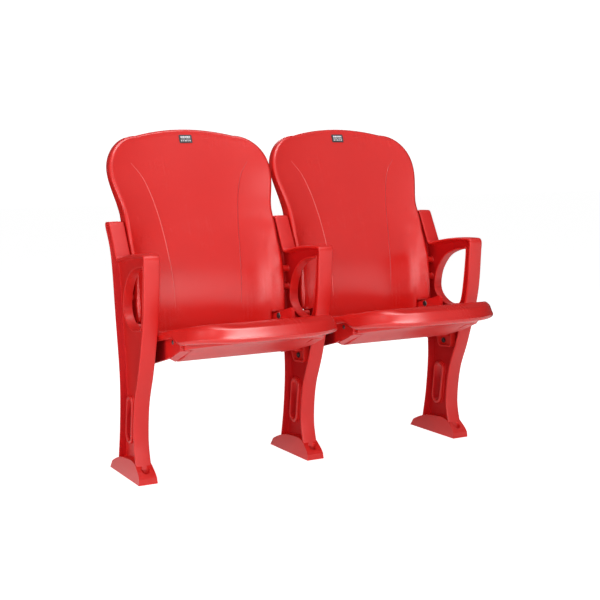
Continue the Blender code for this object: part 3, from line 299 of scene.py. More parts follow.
class Wire:
    # a shader socket that can be used in sums
    def __init__(self, tree, socket=None):
        self.tree = tree
        self.socket = socket

    def make(self, kind, inputs=None, settings=None, output=0):
        node = preset(self.tree.nodes.new("ShaderNode" + kind), **(settings or {}))
        for key, value in (inputs or {}).items():
            if isinstance(value, Wire):
                self.tree.links.new(value.socket, node.inputs[key])
            else:
                node.inputs[key].default_value = value
        return Wire(self.tree, node.outputs[output] if len(node.outputs) else None)

    def maths(self, operation, *terms):
        return self.make("Math", dict(enumerate(terms)), {"operation": operation})

    def __add__(self, other):
        return self.maths("ADD", self, other)

    __radd__ = __add__

    def __sub__(self, other):
        return self.maths("SUBTRACT", self, other)

    def __rsub__(self, other):
        return self.maths("SUBTRACT", other, self)

    def __mul__(self, other):
        return self.maths("MULTIPLY", self, other)

    def __truediv__(self, other):
        return self.maths("DIVIDE", self, other)

    def held(self, low=0.0, high=1.0):
        return self.maths("MINIMUM", self.maths("MAXIMUM", self, low), high)

    def parts(self):
        return [self.make("SeparateXYZ", {0: self}, output=k) for k in range(3)]


def emptied(owner):
    owner.use_nodes = True
    owner.node_tree.nodes.clear()
    return Wire(owner.node_tree)


texture = Sizes(
    cloud=5.0, speck=95.0, flow=(150.0, 2.2, 2.2), scratch=(14.0, 420.0, 14.0), scratchTurn=(0.5, 0.9, 0.4),
    scratchFrom=0.64, scratchGain=9.0, dustFrom=0.60, dustGain=4.0, cloudGloss=0.10, grainGloss=0.05,
    scratchGloss=0.3, bump=0.0004)


def paintShade(start, place, surface, paintedShade):
    # painted shade: a matt dark mixed onto a web or a cheek's outer face, and onto the rear flange's front
    # face, where shadow falls between parts
    across, rearward, height = place.parts()
    facing, front = start.make("TexCoord", output="Normal").parts()[:2]
    away = across.maths("ABSOLUTE", across)

    def faced(share):
        return ((share - 0.5) * 4.0).held()  # none on a face that is turned 60 degrees away

    web = faced(facing * across / away) * (1.0 - (away - paintedShade["floor"]) / paintedShade["rise"]).held()
    web = web * ((rearward + paintedShade["behind"]) / paintedShade["rise"]).held()
    strip = faced(0.0 - front) * ((rearward + paintedShade["rise"]) / paintedShade["rise"]).held()
    strip = strip * ((paintedShade["top"] - height) * paintedShade["fade"]).held(paintedShade["least"], 1.0)
    shadeLook = start.make("BsdfDiffuse", {"Color": paintedShade["colour"] + (1.0,)})
    share = web * paintedShade["web"] + strip * paintedShade["strip"]
    return start.make("MixShader", {0: share, 1: surface, 2: shadeLook})


def finish(name, colour, roughness, metallic=0.0, grain=0.0, grainSize=700.0, mottle=0.06, streak=0.0,
           scuff=0.0, dust=0.0, paintedShade=None):
    look = bpy.data.materials.new(name)
    start = emptied(look)
    place = start.make("TexCoord", output="Object")

    def noise(way, size, detail, harsh):
        return start.make("TexNoise", {"Vector": way, "Scale": size, "Detail": detail, "Roughness": harsh})

    cloud = noise(place, texture.cloud, 4.0, 0.55)
    fine = noise(place, grainSize, 3.0, 0.6)
    speck = noise(place, texture.speck, 6.0, 0.7)
    stretch = start.make("Mapping", {"Vector": place, "Scale": texture.flow})
    flow = noise(stretch, 1.0, 3.0, 0.5)
    slant = start.make("Mapping",
                       {"Vector": place, "Rotation": texture.scratchTurn, "Scale": texture.scratch})
    lines = noise(slant, 1.0, 5.0, 0.75)
    scratch = ((lines - texture.scratchFrom) * texture.scratchGain).held() * scuff
    shade = 1.0 + (cloud - 0.5) * mottle + (speck - 0.5) * (mottle * 0.5)
    pale = (scratch * 0.5 + ((speck - texture.dustFrom) * texture.dustGain).held() * dust).held()
    grey = start.make("CombineColor", {0: shade, 1: shade, 2: shade})
    base = start.make("Mix", {0: 1.0, 6: colour + (1.0,), 7: grey},
                      {"data_type": "RGBA", "blend_type": "MULTIPLY"}, 2)
    lift = tuple(min(1.0, c * 0.6 + 0.22) for c in colour) + (1.0,)  # the paler colour of wear
    tint = start.make("Mix", {0: pale, 6: base, 7: lift}, {"data_type": "RGBA"}, 2)
    gloss = (roughness + (cloud - 0.5) * texture.cloudGloss + (flow - 0.5) * streak
             + (fine - 0.5) * texture.grainGloss + scratch * texture.scratchGloss).held(0.05, 1.0)
    bump = start.make("Bump", {"Height": fine, "Strength": grain, "Distance": texture.bump})
    surface = start.make("BsdfPrincipled",
                         {"Base Color": tint, "Roughness": gloss, "Metallic": metallic, "Normal": bump})
    # mix in the painted shade when a mask is given
    if paintedShade:
        surface = paintShade(start, place, surface, paintedShade)
    start.make("OutputMaterial", {"Surface": surface})
    return look


satin = {"roughness": 0.42, "grain": 0.22, "grainSize": 620.0, "mottle": 0.08, "streak": 0.05, "scuff": 0.12}
# how much painted shade each standard's web gets: little on the left standard, which faces the light, much
# on the middle and right ones in the seats' shadow
webShade = {"left": 0.10, "middle": 0.75, "right": 0.75}
# painted shade in the standards' pockets beside the web and on the rear flange's front face, weaker towards
# the top
pocketShade = {"floor": 0.005, "rise": 0.008, "behind": 1.0, "top": 0.66, "fade": 12.0, "least": 0.3,
              "strip": 0.82, "colour": (0.52, 0.008, 0.011)}
# painted shadow of the standard's front flange on the rear part of each cheek's outer face
cheekShade = dict(pocketShade, floor=0.300, rise=0.020, behind=0.166, web=0.80, strip=0.0,
                 colour=(0.20, 0.004, 0.008))

glossRed = finish("glossRed", (0.735, 0.013, 0.010), 0.26, grain=0.06, grainSize=900.0, streak=0.014,
                  scuff=0.03, dust=0.02)
satinRed = finish("satinRed", (0.735, 0.015, 0.012), **satin, dust=0.05)
# one copy of the satin red per standard, differing only in how much painted shade its web takes
standardRed = {key: finish("standardRed_" + key, (0.735, 0.015, 0.012), **satin, dust=0.05,
                           paintedShade=dict(pocketShade, web=share)) for key, share in webShade.items()}
# cheek finish: satin red with a painted shadow on the rear of the outer face
cheekRed = finish("cheekRed", (0.735, 0.012, 0.010), **satin, dust=0.03, paintedShade=cheekShade)
# the style beads on the left hand take a paler colour as a painted highlight, those on the right hand a
# darker colour as painted shade
beadHighlight = finish("beadHighlight", (0.800, 0.100, 0.090), 0.26, grain=0.05, mottle=0.10)
beadShade = finish("beadShade", (0.560, 0.009, 0.010), 0.32, grain=0.05, mottle=0.10)
darkSteel = finish("darkSteel", (0.085, 0.095, 0.098), 0.38, metallic=0.9, grain=0.2, mottle=0.3, scuff=0.5,
                   dust=0.1)
blackRubber = finish("blackRubber", (0.012, 0.012, 0.013), 0.75, grain=0.5, mottle=0.3, dust=0.15)
plateBlack = finish("plateBlack", (0.016, 0.016, 0.020), 0.42, grain=0.2, mottle=0.3, scuff=0.3, dust=0.1)
plateWhite = finish("plateWhite", (0.80, 0.80, 0.82), 0.5, grain=0.1, mottle=0.15)
paleNylon = finish("paleNylon", (0.66, 0.64, 0.58), 0.5, grain=0.2, mottle=0.1, dust=0.05)
print("finishes made")


# Standards

leg = Sizes(
    flange=0.0445, thick=0.007, web=0.006, draft=0.004, edge=0.0036, crown=0.0008, lip=0.0016, fillet=0.0030,
    leastRadius=0.0012,
    front=[(-0.2084, 0.612), (-0.190, 0.465), (-0.139, 0.314), (-0.096, 0.215), (-0.080, 0.112),
           (-0.094, 0.036)],
    rear=[(0.062, 0.036), (0.039, 0.140), (0.026, 0.275), (0.043, 0.440), (0.063, 0.613), (0.107, 0.704)],
    corners=[(0.1082, 0.713, 0.009), (0.0680, 0.713, 0.014), (0.0155, 0.6108, -0.012)],
    nose=(-0.2092, 0.6331, 0.015), armTop=0.634, crest=0.170, armFall=0.672, archFrom=-0.004, archRun=0.185,
    archSteps=9,
    loop=[(0.170, 0.046), (0.146, 0.187), (0.113, 0.207), (0.066, 0.210), (0.021, 0.188), (0.005, 0.157),
          (0.018, 0.108), (0.058, 0.064), (0.108, 0.043), (0.157, 0.036)], rim=0.027, rimWall=0.004,
    rimEdge=0.0013, rimFillet=0.0022, slotWidth=0.032, slotLength=0.119, slotWall=0.010, slotEdge=0.0036,
    slotHeight=0.1625, slotSet=0.014, slotTilt=0.165)


def legPath():
    # y, z and corner radius, which is negative at the hollow corner
    sides = spline(leg.front, 9) + spline(leg.rear, 9)[:-1]
    arch = []
    for i in range(leg.archSteps + 1):
        y = leg.archFrom - leg.archRun * i / leg.archSteps
        arch.append((y, leg.armTop - leg.armFall * (y + leg.crest) ** 2, 0.0))
    return [p + (0.0,) for p in sides] + leg.corners + arch + [leg.nose]


def legRing(inset):
    path = legPath()
    fitted = []
    for y, z, radius in path:
        if radius > 0:
            fitted.append(max(radius - inset, leg.leastRadius))
        else:
            fitted.append(inset - radius if radius else 0.0)
    return rounded(moved([(y, z) for y, z, radius in path], -inset), fitted)


def loopRing(outward):
    return moved(spline([(-ahead, leg.armTop - drop) for ahead, drop in leg.loop], 7, True), outward)


def slotRing(outward):
    run = (leg.slotLength - leg.slotWidth) / 2
    ends = []
    for sign, start in ((1, 0), (-1, 180)):
        centre = (-leg.slotSet - sign * run * leg.slotTilt, leg.slotHeight + sign * run)
        ends += arc(centre, leg.slotWidth / 2, start, start + 180, 14)
    return moved(ends, outward)


def flangeProfile():
    # (inset, half width) from the outer face over the flange's edge and down into the web
    half, thick, web = leg.flange / 2, leg.thick, leg.web / 2
    edge, lip, fillet = leg.edge, leg.lip, leg.fillet
    deep = thick + leg.draft
    crown = [(leg.crown * share ** 2, (half - edge) * share) for share in (0.0, 0.3, 0.6, 0.85)]
    return (crown + arc((edge + leg.crown, half - edge), edge, 180, 90, 5)
            + arc((thick - lip, half - lip), lip, 90, 0, 3)
            + arc((deep + fillet, web + fillet), fillet, 180, 270, 4))


def rimProfile(wall, edge):
    half, web, fillet = leg.rim / 2, leg.web / 2, leg.rimFillet
    return ([(0.0, 0.0)] + arc((edge, half - edge), edge, 180, 90, 3)
            + arc((wall - edge, half - edge), edge, 90, 0, 3)
            + arc((wall + fillet, web + fillet), fillet, 180, 270, 4))


def standardBody(name):
    bm = bmesh.new()
    shapes = ((legRing, flangeProfile()), (loopRing, rimProfile(leg.rimWall, leg.rimEdge)),
              (slotRing, rimProfile(leg.slotWall, leg.slotEdge)))
    for sign in (-1, 1):
        edges = []
        for shape, profile in shapes:
            verts = skin(bm, [[(sign * x, y, z) for y, z in shape(d)] for d, x in profile])
            inner = verts[-1]
            edges += [bm.edges.get((a, b)) for a, b in zip(inner, inner[1:] + inner[:1])]
        filled = bmesh.ops.triangle_fill(bm, use_beauty=True, edges=edges)
        for item in filled["geom"]:
            if isinstance(item, bmesh.types.BMFace):
                item.smooth = False
    bmesh.ops.remove_doubles(bm, verts=bm.verts, dist=0.00001)
    bmesh.ops.recalc_face_normals(bm, faces=bm.faces)
    return rawObject(name, bm)


foot = Sizes(
    length=0.246, width=0.0548, topWidth=0.0456, height=0.056, wall=0.0055, edge=0.011, crown=0.042,
    hole=0.012, holeInset=0.021, seat=0.0055, seatRise=1.15, soft=0.0026, heel=0.059, heelFloor=(0.5, 0.53),
    over=1.3, past=0.010, heelRise=[(0.008, 1.0), (0.022, 2.3)], slope=(0.33, 0.84),
    toeRise=[(0.043, 0.92), (0.022, 0.69), (0.009, 0.49), (0.001, 0.30)])


def footOutline():
    half, edge, height = foot.length / 2, foot.edge, foot.height
    along, rise = foot.slope
    top = [(half - inset, edge * lift) for inset, lift in foot.heelRise]
    top += [(half * along, height * rise), (-foot.crown, height)]
    top += [(-half + inset, height * lift) for inset, lift in foot.toeRise]
    return [(-half, 0.0), (half, 0.0)] + spline(top, 8)


def leaned(bm):
    draft = 1 - foot.topWidth / foot.width
    for vert in bm.verts:
        vert.co.x *= 1 - draft * vert.co.z / foot.height
    return bm


def footBody(name):
    half, width, edge, height = foot.length / 2, foot.width / 2, foot.edge, foot.height
    body = rawObject(name, leaned(prism(footOutline(), -width, width)))
    inner, past, over = width - foot.wall, half + foot.past, height * foot.over
    low, high = foot.heelFloor
    heel = [(past, edge * low), (past, over), (foot.heel, over), (foot.heel, height * high)]
    combine(body, leaned(prism(heel, -inner, inner)), "DIFFERENCE")
    radius = foot.hole / 2
    washer = radius + foot.seat
    for sign in (-1, 1):
        centre = (0.0, sign * (half - foot.holeInset))
        seatCut = turned([(edge * foot.seatRise, washer), (height, washer)], centre, 40, axis="Z")
        combine(body, seatCut, "DIFFERENCE")
        combine(body, turned([(-foot.past, radius), (height, radius)], centre, axis="Z"), "DIFFERENCE")
    return soften(body, foot.soft)


hinge = Sizes(ahead=0.011, height=0.420)
backBolt = Sizes(
    rear=0.027, heights={"low": 0.502, "high": 0.556}, post=0.0095, edge=0.001,
    root=[(0.0, 0.0125), (0.0045, 0.0108)], rootEnd=0.007, bore=0.0046, boreFloor=0.004)
blockBolt = Sizes(ahead=0.043, drop=0.116, pad=0.004, padRadius=0.0088, padEdge=0.0008)
half = row.pitch / 2
bay = half - leg.flange / 2 - row.runGap
webFace = half - leg.web / 2
blockBoltPlace = (-hinge.ahead - blockBolt.ahead, hinge.height - blockBolt.drop)


def turnedPiece(name, sign, profile, centre, sides):
    return rawObject(name, turned(profile, centre, sides, sign))


def spacerBody(name, sign, height):
    tip, post, edge, bore = half - bay - row.gap, backBolt.post, backBolt.edge, backBolt.bore
    profile = backBolt.root + [(backBolt.rootEnd, post), (tip - edge, post), (tip, post - edge),
                               (tip, bore), (backBolt.boreFloor, bore)]
    return turnedPiece(name, sign, profile, (backBolt.rear, height), 28)


def boltPad(name, sign):
    reach, radius, edge = leg.web / 2 + blockBolt.pad, blockBolt.padRadius, blockBolt.padEdge
    profile = [(0.0, radius), (reach - edge, radius), (reach, radius - edge)]
    return turnedPiece(name, sign, profile, blockBoltPlace, 28)


bayed = {"left": (1,), "middle": (-1, 1), "right": (-1,)}  # the sides on which a standard holds a chair
for key, x in row.standards.items():
    node, at = "standard_" + key, (x, 0.0, 0.0)
    body = standardBody("standardBody_" + key)
    # the body takes its own standard's copy, with that standard's share of painted shade
    dress(body, standardRed[key], "row_frame", node, "red_satin", 40, at, False)
    dress(footBody("standardFoot_" + key), satinRed, "row_frame", node, "red_satin", 40, at)
    for sign in bayed[key]:
        tag = key + ("_a" if sign > 0 else "_b")
        for level, height in backBolt.heights.items():
            spacer = spacerBody("spacer_" + tag + "_" + level, sign, height)
            dress(spacer, satinRed, "row_frame", node, "red_satin", 40, at)
        dress(boltPad("boltPad_" + tag, sign), satinRed, "row_frame", node, "red_satin", 40, at)
print("standards made")


# Backrests

back = Sizes(
    wall=0.0045, top=0.975, shoulder=0.861, neck=0.735, spread=0.256, corner=0.095, hem=0.4330,
    hemFall=0.0055, tail=0.388, tailHalf=0.2035, tailSkirt=0.008, tailEase=0.003, round=0.010, notch=0.0012,
    notchClear=(0.004, 0.048), notchStep=0.0006, notchRun=0.045, columns=16, cornerColumns=18, rows=64,
    middle=[(0.388, 0.033), (0.470, 0.032), (0.560, 0.040), (0.650, 0.064), (0.730, 0.096), (0.840, 0.136),
            (0.975, 0.187)],
    wing=[(0.560, 0.059), (0.660, 0.034), (0.760, 0.027), (0.860, 0.022), (0.975, 0.030)],
    power=[(0.560, 11.0), (0.720, 3.0)],
    skirt=[(0.600, 0.052), (0.740, 0.034), (0.860, 0.020), (0.975, 0.012)])


def backHalf(z):
    return ease([(back.neck, bay), (back.shoulder, back.spread)], z)


def backFace(x, z):
    reach = min(abs(x) / backHalf(min(z, back.shoulder)), 1.0)
    return through(back.middle, z) - ease(back.wing, z) * reach ** ease(back.power, z)


def backCrown(x):
    x = abs(x)
    knee = back.spread - back.corner
    drop = back.top - back.shoulder - back.corner
    if x <= knee:
        return back.top - drop * (x / knee) ** 2
    return back.shoulder + sqrt(max(back.corner ** 2 - (x - knee) ** 2, 0.0))


def backHem(across):
    return back.hem - back.hemFall * (bay - abs(across)) / (bay - back.tailHalf)


def backColumns(notch):
    # shares of the half width, with columns close together at the notch
    knee, count, turns = back.spread - back.corner, back.columns, back.cornerColumns
    before, after = back.notchClear
    right = [knee * i / count / back.spread for i in range(count + 1)]
    right += [(knee + back.corner * sin(radians(90 * i / turns))) / back.spread for i in range(1, turns + 1)]
    right = [t for t in right if not notch - before < t < notch + after]
    right += [notch - back.notchStep, notch + back.notchStep]
    right += [notch + back.notchRun * sin(radians(90 * i / 5)) for i in range(1, 6)]
    right.sort()
    return [-t for t in right[:0:-1]] + right


def backrest(name):
    inner, tailHalf = back.round, back.tailHalf
    notch = (tailHalf - inner) / (bay - inner)
    tip = backHem(tailHalf)

    def low(t):
        # the border keeps its distance from the notch beside the tail
        across = abs(t) * (bay - inner)
        if abs(t) < notch:
            return back.tail + inner
        if across < tailHalf:
            return tip + sqrt(max(inner ** 2 - (tailHalf - across) ** 2, 0.0))
        return backHem(across) + inner

    def surface(t, v):
        z = low(t) + (backCrown(t * back.spread) - inner - low(t)) * v
        across = t * (backHalf(min(z + inner * abs(t), back.shoulder)) - inner)
        return across, z, -backFace(across, z)

    def edge(t, v):
        if v > 0 or abs(t) > 1 - slack:
            return None
        sign = 1 if t > 0 else -1
        across = t * (bay - inner)
        if abs(t) < notch:
            return across * tailHalf / (tailHalf - inner), back.tail
        if abs(across) < tailHalf + slack:
            share = ease([(tailHalf - inner, 0.0), (tailHalf, 1.0)], abs(across))
            return sign * (tailHalf + back.notch * share), tip - back.notch * (1 - share)
        return across, low(t) - inner

    def rim(a, b):
        skirt = ease(back.skirt, b)
        if b < back.hem:
            skirt = ease([(tailHalf, back.tailSkirt), (tailHalf + back.tailEase, skirt)], abs(a))
        return inner, inner, skirt, 0.0, 0.0

    return shell(name, backColumns(notch), evenly(0, 1, back.rows), surface, rim, back.wall,
                 lambda a, b, c: (a, -c, b), edge)


styleLine = Sizes(
    points=[(0.462, 0.104), (0.553, 0.108), (0.630, 0.114), (0.717, 0.124), (0.785, 0.138), (0.838, 0.157),
            (0.877, 0.185)],
    section=[(-1.0, -0.3), (-0.75, 0.4), (-0.35, 0.95), (0.0, 1.0), (0.35, 0.95), (0.75, 0.4), (1.0, -0.3)],
    half=0.0019, proud=0.0015, steps=80, leastTaper=0.05, lowTaper=7, highTaper=5, leastWidth=0.35)


def styleBead(name, sign):
    rings = []
    low, high = styleLine.points[0][0], styleLine.points[-1][0]
    least = styleLine.leastWidth
    for i in range(styleLine.steps + 1):
        share = i / styleLine.steps
        z = low + (high - low) * share
        x = through(styleLine.points, z)
        taper = min(1.0, share * styleLine.lowTaper + styleLine.leastTaper,
                    (1 - share) * styleLine.highTaper + styleLine.leastTaper)
        width, proud = styleLine.half * (least + (1 - least) * taper), styleLine.proud * taper
        ring = []
        for across, lift in styleLine.section:
            px = sign * (x + across * width)
            ring.append((px, backFace(px, z) - lift * proud, z))
        rings.append(ring)
    return rawObject(name, loft(rings))


backRib = Sizes(
    low=0.462, high=0.872, height=0.009, thick=0.0035, steps=40, inset=0.103, spread=0.082, start=0.455,
    run=0.422, power=2.4, sunk=0.3, leastTaper=0.25, taperSteps=10, tipShare=0.6, soft=0.0006)


def rearRib(name, sign):
    rings = []
    steps, least, fade = backRib.steps, backRib.leastTaper, backRib.taperSteps
    for i, z in enumerate(evenly(backRib.low, backRib.high, steps)):
        climb = max((z - backRib.start) / backRib.run, 0.0)
        x = sign * (backRib.inset + backRib.spread * climb ** backRib.power)
        y = backFace(x, z) + back.wall * (1 - backRib.sunk)
        taper = min(1.0, least + i / fade, least + (steps - i) / fade)
        deep = y + back.wall * backRib.sunk + backRib.height * taper
        wide = backRib.thick / 2
        thin = wide * backRib.tipShare
        rings.append([(x - wide, y, z), (x + wide, y, z), (x + thin, deep, z), (x - thin, deep, z)])
    return soften(rawObject(name, loft(rings)), backRib.soft, 2)


hemReturn = Sizes(
    front=0.003, rear=0.0485, thick=0.003, low=0.413, high=0.437, overlap=0.001, bevel=0.006, inset=0.0005,
    soft=0.0007)


def wingReturn(name, sign):
    # the wing's lower rear edge turns in towards the middle, with a tab along its side
    inner, outer = back.tailHalf - hemReturn.overlap, bay - back.wall * 0.5
    low, high, front, rear = hemReturn.low, hemReturn.high, hemReturn.front, hemReturn.rear
    far = rear + hemReturn.thick
    outline = [(rear, low), (far, low), (far, high), (rear, high)]
    body = rawObject(name, prism(outline, inner, outer, sign))
    bevel = hemReturn.bevel
    outline = [(front, low + bevel), (front + bevel, low), (far, low), (far, high), (front, high)]
    tab = prism(outline, bay - back.wall, bay - hemReturn.inset, sign)
    return soften(combine(body, tab, "UNION"), hemReturn.soft)


for key, x in row.seats.items():
    node, at = "backrest_" + key, (x, 0.0, 0.0)
    dress(backrest("backrestShell_" + key), glossRed, "row_frame", node, "red_gloss", 50, at, False)
    # left-hand beads in the painted highlight colour, right-hand beads in the painted shade colour
    for hand, sign, line in (("_a", -1, beadHighlight), ("_b", 1, beadShade)):
        tag = key + hand
        dress(styleBead("styleLine_" + tag, sign), line, "row_frame", node, "red_gloss", 60, at, False)
        dress(rearRib("rearRib_" + tag, sign), glossRed, "row_frame", node, "red_gloss", 40, at)
        dress(wingReturn("wingReturn_" + tag, sign), glossRed, "row_frame", node, "red_gloss", 40, at)
print("backrests made")


# Seats, measured from the hinge axis

seat = Sizes(
    reach=0.433, shoulder=0.251, bow=2.8, step=0.103, tail=0.012, crest=0.365, rise=0.045, ease=0.030,
    rake=0.190, dish=0.010, roll=0.058, cornerRoll=0.022, rollDrop=0.0355, round=0.010, skirt=0.0005,
    sideSkirt=0.003, curl=0.010, curlDrop=0.011, cornerCurl=0.010, curlRange=(0.80, 0.97), wall=0.005,
    waist=0.1965, stepRim=0.0003, frontRange=(-0.022, 0.045), cornerRange=(0.45, 0.90), probe=0.002,
    columns=26, tailRows=14, frontRows=34, nearRow=0.02, rowGap=0.002,
    lip=[(0.15, 0.045), (0.30, 0.115), (0.45, 0.205), (0.54, 0.270), (0.59, 0.315), (0.625, 0.365),
         (0.66, 0.430), (0.73, 0.560), (0.80, 0.685), (0.87, 0.805), (0.925, 0.890), (0.960, 0.935),
         (0.985, 0.970), (1.0, 1.0)])


def risen(limits, at):
    return ease([(limits[0], 0.0), (limits[1], 1.0)], at)


def between(a, b, share):
    return a + (b - a) * share


def seatHeight(x, ahead):
    behind = seat.crest - ahead
    fall = seat.rake * (behind + sqrt(behind * behind + seat.ease ** 2)) / 2
    across = min(abs(x) / bay, 1.0)
    along = max(0.0, min(1.0, behind / (seat.crest - seat.tail)))
    return seat.rise - fall - seat.dish * (1 - across ** 2) * sin(pi * along) ** 2


def seatFront(t):
    return between(seat.shoulder, seat.reach, sqrt(max(1 - abs(t) ** seat.bow, 0.0)))


def frontness(ahead):
    return risen([seat.shoulder + d for d in seat.frontRange], ahead)


def seatBorder(t):
    edge = Vector((t * bay, seatFront(t)))
    near, far = max(-1.0, t - seat.probe), min(1.0, t + seat.probe)
    along = Vector(((far - near) * bay, seatFront(far) - seatFront(near))).normalized()
    out = Vector((-along.y, along.x))
    if abs(t) > 1 - slack:
        out = Vector((1.0 if t > 0 else -1.0, 0.0))
    run = between(seat.roll, seat.cornerRoll, risen(seat.cornerRange, abs(t)))
    return edge - out * between(seat.round, run, frontness(edge.y))


def seatTop(name):
    step = seat.step + seat.round
    first, last = seat.tail + seat.round, step - seat.rowGap
    tail = evenly(first, last, seat.tailRows)
    front = [0.0, seat.nearRow] + evenly(2 * seat.nearRow, 1, seat.frontRows)
    rows = [("tail", ahead) for ahead in tail] + [("front", v) for v in front]

    def surface(t, line):
        part, value = line
        if part == "tail":
            across, ahead = t * (seat.waist - seat.round), value
        else:
            end = seatBorder(t)
            across = t * (bay - seat.round) * (1 - value) + end.x * value
            ahead = step * (1 - value) + end.y * value
        return across, ahead, seatHeight(across, ahead)

    def edge(t, line):
        part, value = line
        across, ahead, height = surface(t, line)
        if part == "tail":
            return t * seat.waist, {tail[0]: seat.tail, tail[-1]: seat.step}.get(value, ahead)
        if value == 1.0:
            return t * bay, seatFront(t)
        return t * bay, ahead if value else seat.step

    def rim(a, b):
        if abs(b - seat.step) < seat.rowGap / 2:
            return seat.round, seat.round, seat.stepRim, seat.stepRim, seat.stepRim
        front = frontness(b)
        end = risen(seat.curlRange, abs(a) / bay)
        return (seat.round, between(seat.round, seat.rollDrop, front),
                between(seat.sideSkirt, seat.skirt, front), seat.curl,
                between(seat.curlDrop, seat.cornerCurl, front * end))

    return shell(name, mirrored(seat.columns), rows, surface, rim, seat.wall,
                 lambda a, b, c: (a, -b, c), edge, seat.lip)


cheek = Sizes(
    inner=0.205, thick=0.010, toe=0.262, slope=0.250, bend=0.160, heel=0.010, heelDrop=0.108,
    heelCut=[(0.014, 0.014), (0.007, 0.003)], toeCut=(0.005, 0.006), toeLift=0.002, under=0.012, back=0.058,
    backRound=0.010, backDrop=0.008, backTurn=195, earFront=0.084, earTop=0.032, earRound=0.012,
    earRear=-0.002, earTurn=76, soleWidth=0.033, soleThick=0.006, soleRear=0.184, soleSkew=0.043,
    soleInset=0.0005, soleToe=(0.001, 0.010), screwAhead=0.211, screwDrop=0.0185, past=0.010, soft=0.0012)
cheekOuter = cheek.inner + cheek.thick
screwPlace = (-cheek.screwAhead, -cheek.screwDrop)
pan = Sizes(
    wall=0.004, gap=0.0008, inset=0.060, taper=1.08, frontHalf=0.206, lip=0.017, lipRun=0.030, low=0.141,
    depth=0.083, slope=0.390, noseDrop=0.012, noseLeast=0.004, rear=0.030, rearDrop=0.056, chamfer=0.006,
    topGap=0.0012, columns=16, tailRows=30, frontRows=12, rowGap=0.002)


def soleLower(ahead):
    return -pan.depth + pan.slope * (ahead - pan.low)


def panFloor(ahead):
    nose = seat.reach - pan.inset
    return through([(pan.rear, -pan.rearDrop), (pan.low, -pan.depth),
                    (cheek.toe, soleLower(cheek.toe)), (nose, -pan.noseDrop)], ahead)


def seatPan(name):
    tailHalf = cheekOuter - cheek.soleWidth - pan.gap
    step = cheek.toe + pan.gap + pan.chamfer
    first, last = pan.rear + pan.chamfer, step - pan.rowGap
    rows = [("tail", ahead) for ahead in evenly(first, last, pan.tailRows)]
    rows += [("front", v) for v in evenly(0, 1, pan.frontRows)]

    def nose(across):
        front = seatFront(min(abs(across) * pan.taper / bay, 1.0))
        return max(front - pan.inset, step + pan.noseLeast)

    def surface(t, line):
        part, value = line
        if part == "tail":
            across, ahead = t * (tailHalf - pan.chamfer), value
        else:
            across = t * (pan.frontHalf - pan.chamfer)
            ahead = step + (nose(across) - step) * value
        return across, ahead, -panFloor(ahead)

    def rim(a, b):
        top = seatHeight(a, b) - seat.wall - row.gap - pan.topGap
        tall = top - panFloor(b) - pan.chamfer
        near = ease([(0.0, 1.0), (pan.lipRun, 0.0)], nose(a) - b)
        return pan.chamfer, pan.chamfer, between(tall, min(tall, pan.lip), near), 0.0, 0.0

    return shell(name, mirrored(pan.columns), rows, surface, rim, pan.wall,
                 lambda a, b, c: (a, -b, -c), None, quarter(4))


def cheekLower(ahead):
    if ahead < cheek.bend:
        return -cheek.heelDrop + cheek.slope * (ahead - cheek.heel)
    bend = -cheek.heelDrop + cheek.slope * (cheek.bend - cheek.heel)
    toe = soleLower(cheek.toe) + cheek.toeLift
    return bend + (toe - bend) * (ahead - cheek.bend) / (cheek.toe - cheek.bend)


def cheekOutline():
    middle, toe, ear = cheek.inner + cheek.thick / 2, cheek.toe, cheek.earRound
    cut, lift = cheek.toeCut
    outline = [(ahead, cheekLower(ahead)) for ahead in (cheek.heel, cheek.bend, toe - cut)]
    outline.append((toe, cheekLower(toe) + lift))
    for ahead in evenly(toe, cheek.earFront, 12):
        outline.append((ahead, seatHeight(middle, ahead) - cheek.under))
    outline += arc((cheek.earFront - ear, cheek.earTop - ear), ear, 0, cheek.earTurn, 9)
    rear = (-cheek.back + cheek.backRound, cheek.earRear - cheek.backDrop)
    outline += arc(rear, cheek.backRound, cheek.earTurn, cheek.backTurn, 9)
    outline += [(cheek.heel - behind, -cheek.heelDrop + up) for behind, up in cheek.heelCut]
    return [(-ahead, z) for ahead, z in outline]


stop = Sizes(ahead=0.062, drop=0.058, radius=0.008, reach=0.016, root=0.002)
pivot = Sizes(
    radius=0.006, bush=0.0091, bushEase=0.0001, bushSoft=0.0004, headThick=0.003,
    head=[(0.0, 0.0078), (0.0004, 0.0086), (0.0022, 0.009), (0.003, 0.009)], socket=0.0042, socketDeep=0.002,
    past=0.010)
screw = Sizes(
    hole=0.0066, sink=0.004, radius=0.0058, proud=0.0022,
    dome=[(0.0018, 0.0058), (0.0006, 0.0046), (0.0, 0.003)], cross=(0.0055, 0.0012), crossDeep=0.0018,
    crossPast=0.002)


def cheekBody(name, sign):
    body = rawObject(name, prism(cheekOutline(), cheek.inner, cheekOuter, sign))
    outer, inner = cheekOuter - cheek.soleInset, cheekOuter - cheek.soleWidth
    near, far = cheek.soleToe
    corners = [(outer, cheek.soleRear), (outer, cheek.toe - near), (inner, cheek.toe - far),
               (inner, cheek.soleRear - cheek.soleSkew)]
    rings = [[(sign * out, -ahead, soleLower(ahead) + lift) for out, ahead in corners]
             for lift in (0.0, cheek.soleThick)]
    combine(body, loft(rings), "UNION")
    past = cheekOuter + cheek.past
    for low, high, radius, centre, sides, operation in (
            (cheekOuter - stop.root, cheekOuter + stop.reach, stop.radius,
             (-stop.ahead, -stop.drop), 32, "UNION"),
            (cheek.inner - cheek.past, past, pivot.bush + row.gap, (0.0, 0.0), 40, "DIFFERENCE"),
            (cheekOuter - screw.sink, past, screw.hole, screwPlace, 32, "DIFFERENCE")):
        combine(body, turned([(low, radius), (high, radius)], centre, sides, sign), operation)
    return soften(body, cheek.soft)


